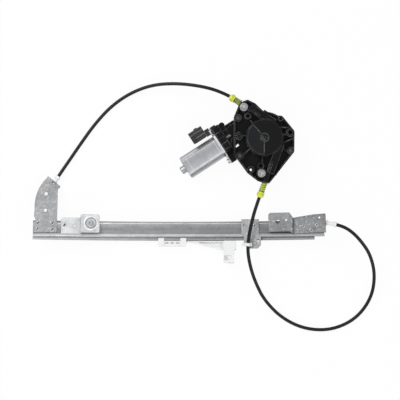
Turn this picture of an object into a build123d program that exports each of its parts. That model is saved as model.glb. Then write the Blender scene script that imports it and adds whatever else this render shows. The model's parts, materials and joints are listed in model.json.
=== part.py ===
from build123d import *
import math
import os

os.makedirs("parts", exist_ok=True)

# Window regulator for a vehicle door: one curved rail, a carrier that is pulled along it by
# twin cables in conduits, and a geared motor with its cable drum. Millimetres. The origin is the
# cable drum's axis, where the gear housing meets the table; +X runs along the rail.

# Sheet metal and small clearances
sheet = 1.5
seat_gap = 0.05
slip = 0.3
rivet_r, rivet_head_r, rivet_hollow_r = 1.9, 2.9, 1.1
rivet_head = 0.8

# Rail: a rolled channel, bowed like the door glass and leaning a little about its length
rail_centre = Vector(-136.5, -148.5, 11.06)
rail_bow_radius = 1400
rail_lean = 8.5
rail_half_length = 233
rail_top = 14.5
step_y = -9
lip_edge = -15.5
lip_depth = 6
flange_depth = 9
trough_low, trough_high = -4, 11
trough_depth, trough_slope = 0.8, 1.0
lip_short, flange_short = 16, 36
rail_edge_r = 1.2
punch_marks = (19, 65)

# Cable
wire_r = 0.75
wire_y = 9.5
wire_z = -5.5

# Plates riveted on the rail: distance from the rail's end or middle, and their lengths
left_inset, mount_inset, right_inset = 20, 61, 23.7
mid_along = 114.5
left_foot, mount_foot, mid_foot, right_foot = 38, 33, 30, 52

# Carrier and its glass clip
carrier_left, carrier_right = -33, 12
finger_width = 9.6
clamp_along = 50
arm_end = 41.7
jaw_slot = 5.2
pad_wall = 0.75

# Gear train: worm, wheel, damper and the pin they turn on
motor_angle = 33
module = 1.0
wheel_teeth = 46
tooth_rise, tooth_drop = 0.9, 1.3
worm_pitch_r = 4.7
wheel_z, wheel_width = 11.5, 8
pin_r = 4
running = 0.05
damper_r = 17.2

# Housings. The heights above the gear housing are measured from its rim.
pot_wall = 3
pot_floor = 2.5
pot_height = 25
pot_clear = 1.6
housing_floor = 3
housing_wall = 2
housing_rim = 13
drum_gap = 0.7
cover_roof = 2.5

# Cable drum
drum_pitch_r = 25
drum_flange = 1.8
drum_height = 14
drum_lift = 1.5
wire_exit_lift = 7.5

# Motor
can_r = 19
can_flat = 15.5
can_wall = 1.6
can_end, can_mouth = -132, -66
shaft_r = 2.5

# Conduits and their adjusters
conduit_r = 2.75
upper_exit_angle, lower_exit_angle = 147, 250
cap_length = 7
spring_r, spring_wire = 4.9, 1.2
cap_r = 6.0
sleeve_r = 3.9
ferrule_r = 3.2
ferrule_cup = 4
left_ferrule_length, right_ferrule_length = 15, 15.2

# Mounting points of the drive unit, in plan
stud_points = [(-32.8, 48.0), (-4.8, -56.8)]
bush_point = (40.8, 8.0)
screw_points = [(-42.4, 31.2), (-39.2, -28.8), (41.6, -20.8)]
screw_r = 2.2
stud_r = 3.0
stud_flange_r = 6.4
stud_top = 58
bush_bore_r = 3.3
bush_r = 4.8

# What follows from those sizes
wheel_r = module * wheel_teeth / 2
worm_offset = wheel_r + worm_pitch_r
worm_z = wheel_z + wheel_width / 2
pot_r = wheel_r + tooth_rise + pot_clear + pot_wall
drum_z = pot_height + drum_lift
wire_exit_z = drum_z + wire_exit_lift
drum_flange_r = drum_pitch_r + drum_flange
chamber_r = drum_flange_r + drum_gap
chamber_top = drum_z + drum_height + 1
cover_top = chamber_top + cover_roof

# Frames of reference
lean_cos, lean_sin = math.cos(math.radians(rail_lean)), math.sin(math.radians(rail_lean))
across_dir = Vector(0, lean_cos, -lean_sin)
up_dir = Vector(0, lean_sin, lean_cos)
bow_centre = rail_centre + up_dir * rail_bow_radius
bow_axis = Axis(tuple(bow_centre), tuple(across_dir * -1))


def rail_plane(along):
    """The plane that lies on the rail's web, at a distance along it from its middle."""
    turn = along / rail_bow_radius
    tangent = Vector(math.cos(turn), 0, 0) + up_dir * math.sin(turn)
    normal = Vector(-math.sin(turn), 0, 0) + up_dir * math.cos(turn)
    place = bow_centre - normal * rail_bow_radius
    return Plane(origin=place, x_dir=tangent, z_dir=normal)


def section_plane(along):
    """The plane square to the rail: x across it, y up from its web."""
    flat = rail_plane(along)
    return Plane(origin=flat.origin, x_dir=across_dir, z_dir=flat.x_dir)


def bow_degrees(length):
    return math.degrees(length / rail_bow_radius)


def seat_height(length):
    """Height at which a flat plate of this length clears the bowed web."""
    return length**2 / (8 * rail_bow_radius) + seat_gap


def polar(angle, distance):
    turn = math.radians(angle)
    return Vector(distance * math.cos(turn), distance * math.sin(turn))


def save(piece, name):
    piece.label = name
    export_step(piece, f"parts/{name}.step")


drive_dir = polar(motor_angle, 1)
drive_side = polar(motor_angle + 90, 1)
drive_top = Plane(origin=(0, 0, 0), x_dir=drive_dir, z_dir=(0, 0, 1))


def drive_plane(u, z=worm_z, v=worm_offset):
    """The plane square to the motor's axis: x towards the drum, y down, facing along the axis."""
    place = drive_dir * u + drive_side * v + Vector(0, 0, z)
    return Plane(origin=place, x_dir=drive_side * -1, z_dir=drive_dir)


# Where the plates are riveted on, as (distance along the rail, points on that plate)
left_plane = rail_plane(-rail_half_length + left_inset)
mount_plane = rail_plane(-rail_half_length + mount_inset)
mid_plane = rail_plane(mid_along)
right_plane = rail_plane(rail_half_length - right_inset)
left_seat, mount_seat = seat_height(left_foot), seat_height(mount_foot)
mid_seat, right_seat = seat_height(mid_foot), seat_height(right_foot)
left_rivets = [(-12.2, 10.2), (-13.0, 0.2), (10.4, 10.2), (10.4, -0.2)]
mount_rivets = [(-11.2, 7.6)]
mid_rivets = [(-10.7, 8.0), (7.7, 7.8)]
right_rivets = [(-9.7, 4.9), (12.1, 6.8), (3.2, -1.1)]
riveted = [
    (left_plane, left_seat, left_rivets), (mount_plane, mount_seat, mount_rivets),
    (mid_plane, mid_seat, mid_rivets), (right_plane, right_seat, right_rivets),
]

# Routes of the two conduits, from the drum to the rail's ends. The last two points of each lie
# on the axis of its ferrule, measured from the end bracket.
left_ferrule_line = [(26.7, 98.5, -3.2), (17.1, 83.4, -4.6)]
right_ferrule_line = [(50.8, 5.8, -6.2), (39.0, 8.5, -5.8)]
upper_route = [
    (-54.4, 65.1, 34.0), (-72.0, 74.2, 33.8), (-102.5, 82.6, 29.5), (-140.5, 87.6, 20.0),
    (-178.5, 86.0, 10.5), (-213.5, 73.8, 4.5), (-244.5, 53.0, 3.1), (-271.0, 24.5, 3.1),
    (-294.0, -7.5, 3.1), (-312.0, -34.0, 3.3),
] + [tuple(left_plane.from_local_coords(Vector(*point))) for point in left_ferrule_line]
lower_route = [
    (-7.5, -93.6, 34.0), (-15.2, -115.0, 34.0), (-20.6, -137.0, 32.0), (-24.9, -158.5, 28.7),
    (-26.4, -181.0, 25.0), (-22.0, -206.0, 18.4), (-13.0, -232.5, 11.4), (1.5, -261.0, 6.0),
    (30.0, -290.0, 3.2), (67.0, -307.5, 3.1), (110.0, -309.0, 3.1), (149.0, -291.0, 3.2),
    (173.5, -257.5, 6.0), (178.5, -220.0, 15.5), (169.5, -186.0, 26.0), (152.5, -162.5, 30.4),
    (137.5, -148.0, 29.6),
] + [tuple(right_plane.from_local_coords(Vector(*point))) for point in right_ferrule_line]


# The rail
fold_shift = sheet * math.tan(math.atan(trough_depth / trough_slope) / 2)
web_bottom = -trough_depth - sheet
with BuildPart() as guide_rail:
    with BuildSketch(section_plane(-rail_half_length)) as rail_section:
        with BuildLine():
            Polyline(
                (step_y - sheet, 0), (trough_low - trough_slope, 0), (trough_low, -trough_depth),
                (trough_high, -trough_depth), (trough_high + trough_slope, 0),
                (rail_top, 0), (rail_top, -flange_depth), (rail_top - sheet, -flange_depth),
                (rail_top - sheet, -sheet), (trough_high + trough_slope + fold_shift, -sheet),
                (trough_high + fold_shift, web_bottom), (trough_low - fold_shift, web_bottom),
                (trough_low - trough_slope - fold_shift, -sheet), (step_y, -sheet),
                (step_y, -lip_depth - sheet), (lip_edge, -lip_depth - sheet),
                (lip_edge, -lip_depth), (step_y - sheet, -lip_depth), close=True,
            )
        make_face()
        crown = rail_section.vertices().group_by(Axis.Y)[-1].sort_by(Axis.X)
        fillet([crown[0], crown[-1]], radius=rail_edge_r)
    revolve(axis=bow_axis, revolution_arc=bow_degrees(2 * rail_half_length))
    # The lip stops short of the right end, and the top flange short of the left one
    with BuildSketch(rail_plane(rail_half_length - lip_short).offset(-lip_depth - 4)):
        with Locations((20, (lip_edge + step_y - sheet) / 2 - 0.5)):
            Rectangle(40, step_y - sheet - lip_edge + 1)
    extrude(amount=8, mode=Mode.SUBTRACT)
    with BuildSketch(rail_plane(-rail_half_length + flange_short).offset(-flange_depth - 4)):
        with Locations((-20, rail_top)):
            Rectangle(40, 2 * sheet + 0.4)
    extrude(amount=flange_depth + 4 - sheet, mode=Mode.SUBTRACT)
    for plane, seat, points in riveted:
        with BuildSketch(plane.offset(web_bottom - 1)):
            with Locations(*points):
                Circle(rivet_r + seat_gap)
        extrude(amount=2 * sheet + trough_depth + 1, mode=Mode.SUBTRACT)
    for along in punch_marks:
        with BuildSketch(rail_plane(along).offset(-trough_depth - sheet / 3)):
            with Locations((0, (trough_low + trough_high) / 2)):
                Circle(1.7)
        extrude(amount=sheet, mode=Mode.SUBTRACT)
save(guide_rail.part, "guide_rail")

# Tubular rivets
with BuildPart() as bracket_rivets:
    for plane, seat, points in riveted:
        with BuildSketch(plane.offset(web_bottom + seat_gap)):
            with Locations(*points):
                Circle(rivet_r)
        extrude(amount=seat + sheet - web_bottom - seat_gap)
        with BuildSketch(plane.offset(seat + sheet)):
            with Locations(*points):
                Circle(rivet_head_r)
        extrude(amount=rivet_head)
        with BuildSketch(plane.offset(seat)):
            with Locations(*points):
                Circle(rivet_hollow_r)
        extrude(amount=sheet + rivet_head, mode=Mode.SUBTRACT)
save(bracket_rivets.part, "bracket_rivets")

# Mouths of the two ferrules: each lies on the last run of its conduit


def mouth_plane(route):
    end, before = Vector(*route[-1]), Vector(*route[-2])
    return Plane(origin=end, z_dir=(end - before).normalized())


left_mouth, right_mouth = mouth_plane(upper_route), mouth_plane(lower_route)

# The left end bracket: a tall stamping with a turned edge, which carries the cable guide
bracket_lip = 8.5
turned_from = 17
guide_lugs = [(-0.1, 57.1), (-0.9, 30.4)]
lug_r = 2.9
left_top_edge = [(22.6, 69.5), (2.3, 86.3)]
left_wall_at = 7.3
with BuildPart() as left_end_bracket:
    with BuildSketch(left_plane.offset(left_seat)) as tall_outline:
        with BuildLine():
            Polyline(
                (-19.5, 12.5), (-19.5, -4.8), (17.7, -4.8), (18.5, 66.0),
                *left_top_edge, (1.0, 83.4),
            )
            ThreePointArc((1.0, 83.4), (-12.6, 63.5), (-17.9, 36.0))
            Polyline((-17.9, 36.0), (-18.4, 21.9), (-16.3, 18.0), (-16.3, 12.5), (-19.5, 12.5))
        make_face()
    extrude(amount=sheet)
    with BuildSketch(left_plane.offset(left_seat - bracket_lip)):
        add(tall_outline.sketch_local)
        offset(tall_outline.sketch_local, amount=-sheet, mode=Mode.SUBTRACT)
        with Locations((0, turned_from + 50)):
            Rectangle(80, 100, mode=Mode.INTERSECT)
    extrude(amount=bracket_lip)
    with BuildSketch(left_plane.offset(left_seat)):
        with Locations(*left_rivets):
            Circle(rivet_r + seat_gap)
        with Locations(*guide_lugs):
            Circle(lug_r + 0.15)
    extrude(amount=sheet, mode=Mode.SUBTRACT)
    # The ferrule's notch: a hole through the turned edge, open above it
    with BuildSketch(left_mouth.offset(left_wall_at - 2)):
        Circle(ferrule_r + 0.2)
    extrude(amount=sheet + 4, mode=Mode.SUBTRACT)
    notch = left_plane.to_local_coords(left_mouth.offset(left_wall_at + 1).origin)
    heading = left_mouth.z_dir
    with BuildSketch(Plane(
        origin=left_plane.offset(left_seat - 1).from_local_coords(Vector(notch.X, notch.Y, 0)),
        x_dir=heading - left_plane.z_dir * heading.dot(left_plane.z_dir), z_dir=left_plane.z_dir,
    )):
        Rectangle(6.4, 2 * ferrule_r)
    extrude(amount=sheet + 2, mode=Mode.SUBTRACT)
save(left_end_bracket.part, "left_end_bracket")

# The cable's route behind that bracket, and the plastic guide that bends it into the rail
guide_plane = left_plane.offset(wire_z)
left_entry = guide_plane.to_local_coords(left_mouth.offset(left_ferrule_length + slip).origin)
guide_path = [(left_entry.X, left_entry.Y), (-5.0, 43.6), (-5.0, wire_y), (15.5, wire_y)]
guide_bends = [40, 15]
guide_top, guide_bottom = -0.25, -9.0


def wire_sweep(radius, plane, points, bends):
    """A round bar along straight runs and arcs drawn on a plane."""
    with BuildPart(mode=Mode.PRIVATE) as bar:
        with BuildLine(plane) as route:
            FilletPolyline(*points, radius=bends)
        first = route.wires()[0]
        with BuildSketch(Plane(origin=first @ 0, z_dir=first % 0)):
            Circle(radius)
        sweep(path=first)
    return bar.part


with BuildPart() as cable_guide:
    with BuildSketch(left_plane.offset(guide_bottom)):
        with BuildLine():
            Polyline(
                (-12.5, 16.5), (-12.5, 47.0), (-4.0, 62.0), (2.6, 70.0), (9.4, 63.6),
                (4.6, 52.0), (3.4, 42.0), (3.4, 16.5), close=True,
            )
        make_face()
    extrude(amount=guide_top - guide_bottom)
    with BuildSketch(left_plane.offset(guide_bottom)):
        with BuildLine():
            Polyline(
                (-12.5, 17.0), (-12.5, 3.0), (-6.0, -4.0), (14.0, -4.0), (14.0, 12.5),
                (3.4, 12.5), (3.4, 17.0), close=True,
            )
        make_face()
    extrude(amount=web_bottom - slip - guide_bottom)
    with BuildSketch(left_plane.offset(guide_top)):
        with Locations(*guide_lugs):
            Circle(lug_r)
    extrude(amount=left_seat + sheet + 1.2 - guide_top)
    add(wire_sweep(wire_r + 0.4, guide_plane, guide_path, guide_bends), mode=Mode.SUBTRACT)
save(cable_guide.part, "cable_guide")

# Ferrules: the cup at the conduit's end, then a neck with collars to each side of its wall
ferrule_bore = wire_r + slip


def ferrule(plane, length, collars):
    with BuildPart(mode=Mode.PRIVATE) as fitting:
        with BuildSketch(plane.offset(-ferrule_cup)):
            Circle(ferrule_r + 1.2)
        extrude(amount=ferrule_cup + 0.4)
        with BuildSketch(plane):
            Circle(ferrule_r)
        extrude(amount=length)
        for start, collar_r, thick in collars:
            with BuildSketch(plane.offset(start)):
                Circle(collar_r)
            extrude(amount=thick)
        with BuildSketch(plane.offset(-ferrule_cup)):
            Circle(conduit_r + 0.15)
        extrude(amount=ferrule_cup, mode=Mode.SUBTRACT)
        with BuildSketch(plane.offset(-1)):
            Circle(ferrule_bore)
        extrude(amount=length + 2, mode=Mode.SUBTRACT)
    return fitting.part


right_wall_at = 13.5
left_ferrule = ferrule(
    left_mouth, left_ferrule_length,
    [(left_wall_at - 2.2, 4.8, 1.4), (left_wall_at + sheet + 0.6, 5.0, 1.4)],
)
right_ferrule = ferrule(right_mouth, right_ferrule_length, [(right_wall_at - 3.0, 4.8, 1.4)])
save(Compound(children=[left_ferrule, right_ferrule]), "conduit_ferrules")

# The left mount bracket: a foot on the web and a raised pad that holds a stud
pad_lift = 7
pad_thick = 1.8
pad_size, pad_corner = (30.4, 29.4), 3
mount_stud = (30.7, 10.4)
mount_wall_x = 15.6
dimple_r = 3.6
ring_r, ring_rise = 9.4, 0.5
with BuildPart() as left_mount_bracket:
    with BuildSketch(mount_plane.offset(mount_seat)):
        with BuildLine():
            Polyline(
                (-16.8, -6.5), (mount_wall_x, -6.5), (mount_wall_x, 19.6), (-13.5, 19.6),
                (-16.8, 17.0), close=True,
            )
        make_face()
    extrude(amount=sheet)
    with BuildSketch(mount_plane.offset(mount_seat)):
        with Locations((mount_wall_x - sheet / 2, 6.55)):
            Rectangle(sheet, 26.1)
    extrude(amount=pad_lift + sheet)
    with BuildSketch(mount_plane.offset(mount_seat + pad_lift)):
        with Locations((mount_wall_x - sheet + pad_size[0] / 2, 9.6)):
            RectangleRounded(*pad_size, pad_corner)
    extrude(amount=pad_thick)
    with BuildSketch(mount_plane.offset(mount_seat + pad_lift + pad_thick)):
        with Locations(mount_stud):
            Circle(ring_r)
            Circle(ring_r - 1.2, mode=Mode.SUBTRACT)
    extrude(amount=ring_rise)
    with BuildSketch(mount_plane.offset(mount_seat)):
        with Locations(*mount_rivets):
            Circle(rivet_r + seat_gap)
    extrude(amount=sheet, mode=Mode.SUBTRACT)
    with BuildSketch(mount_plane.offset(mount_seat + sheet)):
        with Locations((5.7, 6.3)):
            Circle(dimple_r)
    extrude(amount=-sheet * 0.4, mode=Mode.SUBTRACT)
    with BuildSketch(mount_plane.offset(mount_seat + pad_lift)):
        with Locations(mount_stud):
            Circle(stud_r + 0.2)
    extrude(amount=pad_thick + 1, mode=Mode.SUBTRACT)
save(left_mount_bracket.part, "left_mount_bracket")

# The rail's own stud, with a head below the pad, a collar above it and a blunt tip
stud_collar_r, stud_collar, rail_stud_length = 4.8, 1.2, 12
with BuildPart() as rail_stud:
    with BuildSketch(mount_plane.offset(mount_seat + pad_lift - 2)):
        with Locations(mount_stud):
            Circle(5.5)
    extrude(amount=2)
    with BuildSketch(mount_plane.offset(mount_seat + pad_lift)):
        with Locations(mount_stud):
            Circle(stud_r)
    extrude(amount=pad_thick + rail_stud_length)
    with BuildSketch(mount_plane.offset(mount_seat + pad_lift + pad_thick)):
        with Locations(mount_stud):
            Circle(stud_collar_r)
    extrude(amount=stud_collar)
    chamfer(rail_stud.faces().sort_by(Axis.Z)[-1].edges(), length=0.8)
save(rail_stud.part, "rail_stud")

# The mid bracket: a plate across the rail with a tab for the cable clip
tab_low = -29.5
clip_leg, clip_leg_width = 5.5, 1.2
clip_band, clip_wall = 5.0, 1.3
clip_plane = mid_plane.offset(mid_seat + sheet)
clip_run = (Vector(*lower_route[3]), Vector(*lower_route[4]))
clip_middle = (clip_run[0] + clip_run[1]) * 0.5
clip_place = clip_plane.to_local_coords(clip_middle)
with BuildPart() as mid_bracket:
    with BuildSketch(mid_plane.offset(mid_seat)):
        with BuildLine():
            Polyline(
                (-13.9, 17.8), (14.1, 17.8), (14.1, -6.0), (17.4, -10.0), (17.4, -24.0),
                (12.0, tab_low), (-3.0, tab_low), (-9.9, -22.0), (-9.9, -10.0), (-13.9, -6.0),
                close=True,
            )
        make_face()
        with Locations(*mid_rivets):
            Circle(rivet_r + seat_gap, mode=Mode.SUBTRACT)
        with Locations((13.0, -16.5)):
            Circle(1.8, mode=Mode.SUBTRACT)
        with Locations((clip_place.X + clip_leg, clip_place.Y)):
            Rectangle(clip_leg_width + 0.4, clip_band, mode=Mode.SUBTRACT)
    extrude(amount=sheet)
    with BuildSketch(mid_plane.offset(mid_seat + sheet)):
        with Locations((6.9, tab_low + 8.5)):
            Circle(3.2)
    extrude(amount=sheet / 2)
save(mid_bracket.part, "mid_bracket")

# The right end bracket: raised pad, step, long foot, and a turned edge for the ferrule
right_lift = 6.5
right_wall_drop = 9
right_end_x, right_step_x = 25.9, -25.9
rail_hole, rail_hole_r, small_hole_r = (-49.3, 12.0), 3.4, 1.7
with BuildPart() as right_end_bracket:
    with BuildSketch(right_plane.offset(right_seat)):
        with BuildLine():
            Polyline(
                (right_step_x - sheet, 19.0), (6.5, 23.9), (right_end_x, 25.1),
                (right_end_x, -4.8), (right_step_x, -6.9), (right_step_x - sheet, -6.9), close=True,
            )
        make_face()
        with Locations(*right_rivets):
            Circle(rivet_r + seat_gap, mode=Mode.SUBTRACT)
        with Locations((16.2, 18.9)):
            Circle(small_hole_r, mode=Mode.SUBTRACT)
    extrude(amount=sheet)
    with BuildSketch(right_plane.offset(right_seat)):
        with Locations((right_step_x - sheet / 2, 6.05)):
            Rectangle(sheet, 25.9)
    extrude(amount=right_lift)
    with BuildSketch(right_plane.offset(right_seat + right_lift)):
        with BuildLine():
            Polyline(
                (-62.0, 26.9), (-31.0, 26.9), (right_step_x, 19.4), (right_step_x, -6.9),
                (-30.5, -3.6), (-64.7, -3.6), (-64.7, 24.0), close=True,
            )
        make_face()
        with Locations(rail_hole):
            Circle(rail_hole_r, mode=Mode.SUBTRACT)
        with Locations((-36.4, 15.2)):
            Circle(small_hole_r, mode=Mode.SUBTRACT)
    extrude(amount=pad_thick)
    # The turned edge beyond the rail's end
    with BuildSketch(right_plane.offset(right_seat - right_wall_drop)):
        with Locations((right_end_x - sheet / 2, 9.5)):
            Rectangle(sheet, 28.0)
    extrude(amount=right_wall_drop)
    with BuildSketch(right_mouth.offset(right_wall_at - 1.5)):
        Circle(ferrule_r + 0.2)
    extrude(amount=sheet + 4, mode=Mode.SUBTRACT)
save(right_end_bracket.part, "right_end_bracket")

# The cable along the rail: a lead from the left ferrule, the run, and a lead to the right one
run_start = -rail_half_length + left_inset + guide_path[-1][0] + 0.2
run_end = rail_half_length - 8
right_bore = right_mouth.offset(right_ferrule_length + slip).origin
with BuildPart() as rail_cable:
    add(wire_sweep(wire_r, guide_plane, guide_path, guide_bends))
    with BuildSketch(section_plane(run_start)):
        with Locations((wire_y, wire_z)):
            Circle(wire_r)
    revolve(axis=bow_axis, revolution_arc=bow_degrees(run_end - run_start))
    run_tip = section_plane(run_end + slip).from_local_coords(Vector(wire_y, wire_z, 0))
    with BuildSketch(Plane(origin=run_tip, z_dir=(right_bore - run_tip).normalized())):
        Circle(wire_r)
    extrude(amount=(right_bore - run_tip).length)
save(rail_cable.part, "rail_cable")

# The cable clip: a band round the conduit, a leg through the tab's slot and a short tail
clip_tail, clip_side = 10.6, 3.4
clip_axis = Plane(
    origin=clip_middle, z_dir=(clip_run[1] - clip_run[0]).normalized(), x_dir=clip_plane.x_dir,
)
clip_foot = clip_leg + clip_leg_width / 2
with BuildPart() as cable_clip:
    with BuildSketch(clip_axis.offset(-clip_band / 2)):
        Circle(conduit_r + slip + clip_wall)
    extrude(amount=clip_band)
    with BuildSketch(clip_plane.offset(seat_gap)):
        with Locations((clip_place.X + (clip_foot - clip_side) / 2, clip_place.Y)):
            Rectangle(clip_foot + clip_side, clip_band)
    extrude(amount=clip_place.Z - conduit_r * 0.4)
    with BuildSketch(clip_plane.offset(seat_gap)):
        with Locations((clip_place.X - clip_tail / 2, clip_place.Y)):
            Rectangle(clip_tail, clip_band)
    extrude(amount=2 * clip_wall)
    with BuildSketch(clip_axis.offset(-clip_band)):
        Circle(conduit_r + slip)
    extrude(amount=2 * clip_band, mode=Mode.SUBTRACT)
    with BuildSketch(clip_plane.offset(-sheet - 0.8)):
        with Locations((clip_place.X + clip_leg, clip_place.Y)):
            Rectangle(clip_leg_width, clip_band - 0.8)
    extrude(amount=sheet + 1.4)
save(cable_clip.part, "cable_clip")

# The carrier: a shoe in the rail's channel, fingers over the lip, an arm and a glass clamp
shoe_play = 0.5
shoe_top, shoe_bottom, shoe_edge = web_bottom - shoe_play, -10.4, -24.5
shoe_side = rail_top - sheet - shoe_play
block_top, block_bottom, jaw_middle = -1.8, -12.3, -7.2
web_low, arm_thick, arm_height = -11.2, 3.0, 6.6
clamp_recess = 1.2
clamp_screw_point, clamp_screw_r, clamp_head_r = (26.2, -43.9), 2.0, 3.0
nipple_r, nipple_length, nipple_inset = 2.2, 6, 4
nipple_starts = (carrier_left + nipple_inset, carrier_right - nipple_inset - nipple_length)
arm_edge = [(-39.5, -19.0), (-31.9, -18.2), (-15.9, -21.9), (8.1, -27.5), (22.0, -31.5)]
clamp_plane = rail_plane(clamp_along)
shoe_length = carrier_right - carrier_left
jaw_height = jaw_slot + 2 * (pad_wall + seat_gap)
with BuildPart() as carrier:
    with BuildSketch(section_plane(carrier_left)):
        with BuildLine():
            Polyline(
                (shoe_side, shoe_top), (shoe_side, -8.6), (-8.0, shoe_bottom),
                (shoe_edge, shoe_bottom), (shoe_edge, -4.2), (lip_edge - shoe_play, -4.2),
                (lip_edge - shoe_play, -lip_depth - sheet - 0.4),
                (step_y + shoe_play, -lip_depth - sheet - 0.4),
                (step_y + shoe_play, shoe_top), close=True,
            )
        make_face()
    revolve(axis=bow_axis, revolution_arc=bow_degrees(shoe_length))
    for finger_start in (carrier_left, carrier_right - finger_width):
        with BuildSketch(section_plane(finger_start)):
            with BuildLine():
                Polyline(
                    (shoe_edge, -5.0), (shoe_edge, -3.2), (step_y - sheet - shoe_play, -3.2),
                    (step_y - sheet - shoe_play, -lip_depth + 0.4),
                    (lip_edge - shoe_play, -lip_depth + 0.4), (lip_edge - shoe_play, -5.0),
                    close=True,
                )
            make_face()
        revolve(axis=bow_axis, revolution_arc=bow_degrees(finger_width))
    # The arm: a thin web stiffened by a deeper rim along its free edge
    with BuildSketch(clamp_plane.offset(web_low)):
        with BuildLine():
            Polyline((-39.5, -9.5), *arm_edge, (22.5, -9.5), close=True)
        make_face()
    extrude(amount=arm_thick)
    with BuildSketch(clamp_plane.offset(web_low)):
        with BuildLine():
            Polyline((-39.5, -16.4), *arm_edge, (22.5, -16.4), close=True)
        make_face()
        with BuildLine():
            Polyline((-20.0, -18.4), (8.1, -24.8), (20.0, -28.4), (20.0, -18.4), close=True)
        make_face(mode=Mode.SUBTRACT)
    extrude(amount=arm_height)
    with BuildSketch(clamp_plane.offset(block_bottom)):
        with BuildLine():
            Polyline(
                (21.7, -16.4), (arm_end, -16.4), (arm_end, -29.9), (38.5, -30.7),
                (38.5, -51.5), (23.5, -51.5), (21.7, -49.5), close=True,
            )
        make_face()
    extrude(amount=block_top - block_bottom)
    # The slot for the glass, the screw's recess, and the pockets for the cable ends
    with BuildSketch(clamp_plane.offset(jaw_middle - jaw_height / 2)):
        with Locations((40, -36)):
            Rectangle(20, 36)
    extrude(amount=jaw_height, mode=Mode.SUBTRACT)
    with BuildSketch(clamp_plane.offset(block_top)):
        with Locations((clamp_screw_point[0] + 2.4, clamp_screw_point[1])):
            Rectangle(11.0, 7.6)
    extrude(amount=-clamp_recess, mode=Mode.SUBTRACT)
    with BuildSketch(clamp_plane.offset(block_top)):
        with Locations(clamp_screw_point):
            Circle(clamp_screw_r + 0.1)
    extrude(amount=block_bottom - block_top - 1, mode=Mode.SUBTRACT)
    with BuildSketch(rail_plane((carrier_left + carrier_right) / 2).offset(-4.0)):
        with Locations((0, -19.4)):
            with GridLocations(8.8, 1, 3, 1):
                Rectangle(5.2, 1.6)
    extrude(amount=-3, mode=Mode.SUBTRACT)
    with BuildSketch(section_plane(carrier_left - 2)):
        with Locations((wire_y, wire_z)):
            Circle(wire_r + 0.5)
    revolve(axis=bow_axis, revolution_arc=bow_degrees(shoe_length + 4), mode=Mode.SUBTRACT)
    for nipple_start in nipple_starts:
        with BuildSketch(section_plane(nipple_start - slip)):
            with Locations((wire_y, wire_z)):
                Circle(nipple_r + slip)
            with Locations((wire_y, wire_z - 4)):
                Rectangle(2 * (nipple_r + slip), 8)
        revolve(
            axis=bow_axis, revolution_arc=bow_degrees(nipple_length + 2 * slip),
            mode=Mode.SUBTRACT,
        )
save(carrier.part, "carrier")

with BuildPart() as cable_nipples:
    for nipple_start in nipple_starts:
        with BuildSketch(section_plane(nipple_start)):
            with Locations((wire_y, wire_z)):
                Circle(nipple_r)
                Circle(wire_r + 0.35, mode=Mode.SUBTRACT)
        revolve(axis=bow_axis, revolution_arc=bow_degrees(nipple_length))
save(cable_nipples.part, "cable_nipples")

with BuildPart() as glass_pad:
    with BuildSketch(clamp_plane.offset(jaw_middle - jaw_slot / 2 - pad_wall)):
        with Locations((34.3, -34.6)):
            Rectangle(8.2, 32.6)
    extrude(amount=jaw_slot + 2 * pad_wall)
    with BuildSketch(clamp_plane.offset(jaw_middle - jaw_slot / 2)):
        with Locations((36, -36)):
            Rectangle(9.4, 40)
    extrude(amount=jaw_slot, mode=Mode.SUBTRACT)
save(glass_pad.part, "glass_pad")

with BuildPart() as clamp_screw:
    with BuildSketch(clamp_plane.offset(block_top - clamp_recess + seat_gap)):
        with Locations(clamp_screw_point):
            Circle(clamp_head_r)
            RegularPolygon(clamp_head_r / 2, 6, mode=Mode.SUBTRACT)
    extrude(amount=clamp_recess)
    with BuildSketch(clamp_plane.offset(block_bottom + 0.5)):
        with Locations(clamp_screw_point):
            Circle(clamp_screw_r)
    extrude(amount=block_top - clamp_recess - block_bottom - 0.3)
save(clamp_screw.part, "clamp_screw")

# Gear train: a wheel on a fixed pin, turned by the worm and driving the drum through a damper
tooth_step = 360 / wheel_teeth
tooth_tip, tooth_root = wheel_r + tooth_rise, wheel_r - tooth_drop
tooth_outline = [(tooth_root, -0.95), (tooth_tip, -0.35), (tooth_tip, 0.35), (tooth_root, 0.95)]
rim_points = [
    polar(motor_angle + 90 + (tooth + 0.5) * tooth_step + math.degrees(half / radius), radius)
    for tooth in range(wheel_teeth) for radius, half in tooth_outline
]
wheel_web = 2.5
damper_z = wheel_z + wheel_web + 0.2
damper_top = damper_z + 5
lug_span, lug_size = 10, (9, 6)
with BuildPart() as worm_wheel:
    with BuildSketch(Plane.XY.offset(wheel_z)):
        with BuildLine():
            Polyline(*rim_points, close=True)
        make_face()
    extrude(amount=wheel_width)
    with BuildSketch(Plane.XY.offset(wheel_z + wheel_web)):
        Circle(damper_r + slip)
    extrude(amount=wheel_width, mode=Mode.SUBTRACT)
    with BuildSketch(Plane.XY.offset(wheel_z - 2.5)):
        Circle(6.5)
    extrude(amount=2.5)
    with BuildSketch(Plane.XY.offset(wheel_z - 3)):
        Circle(pin_r + running)
    extrude(amount=wheel_width, mode=Mode.SUBTRACT)
save(worm_wheel.part, "worm_wheel")

hub_neck_r = 8
hub_top = drum_z + 6.1
with BuildPart() as drive_hub:
    with BuildSketch(Plane.XY.offset(damper_z)):
        Circle(hub_neck_r)
        with PolarLocations(lug_span, 3):
            Rectangle(*lug_size)
    extrude(amount=damper_top - damper_z)
    with BuildSketch(Plane.XY.offset(damper_top)):
        RegularPolygon(hub_neck_r, 6)
    extrude(amount=hub_top - damper_top)
    with BuildSketch(Plane.XY.offset(damper_z)):
        Circle(pin_r + running)
    extrude(amount=hub_top - damper_z, mode=Mode.SUBTRACT)
save(drive_hub.part, "drive_hub")

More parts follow.
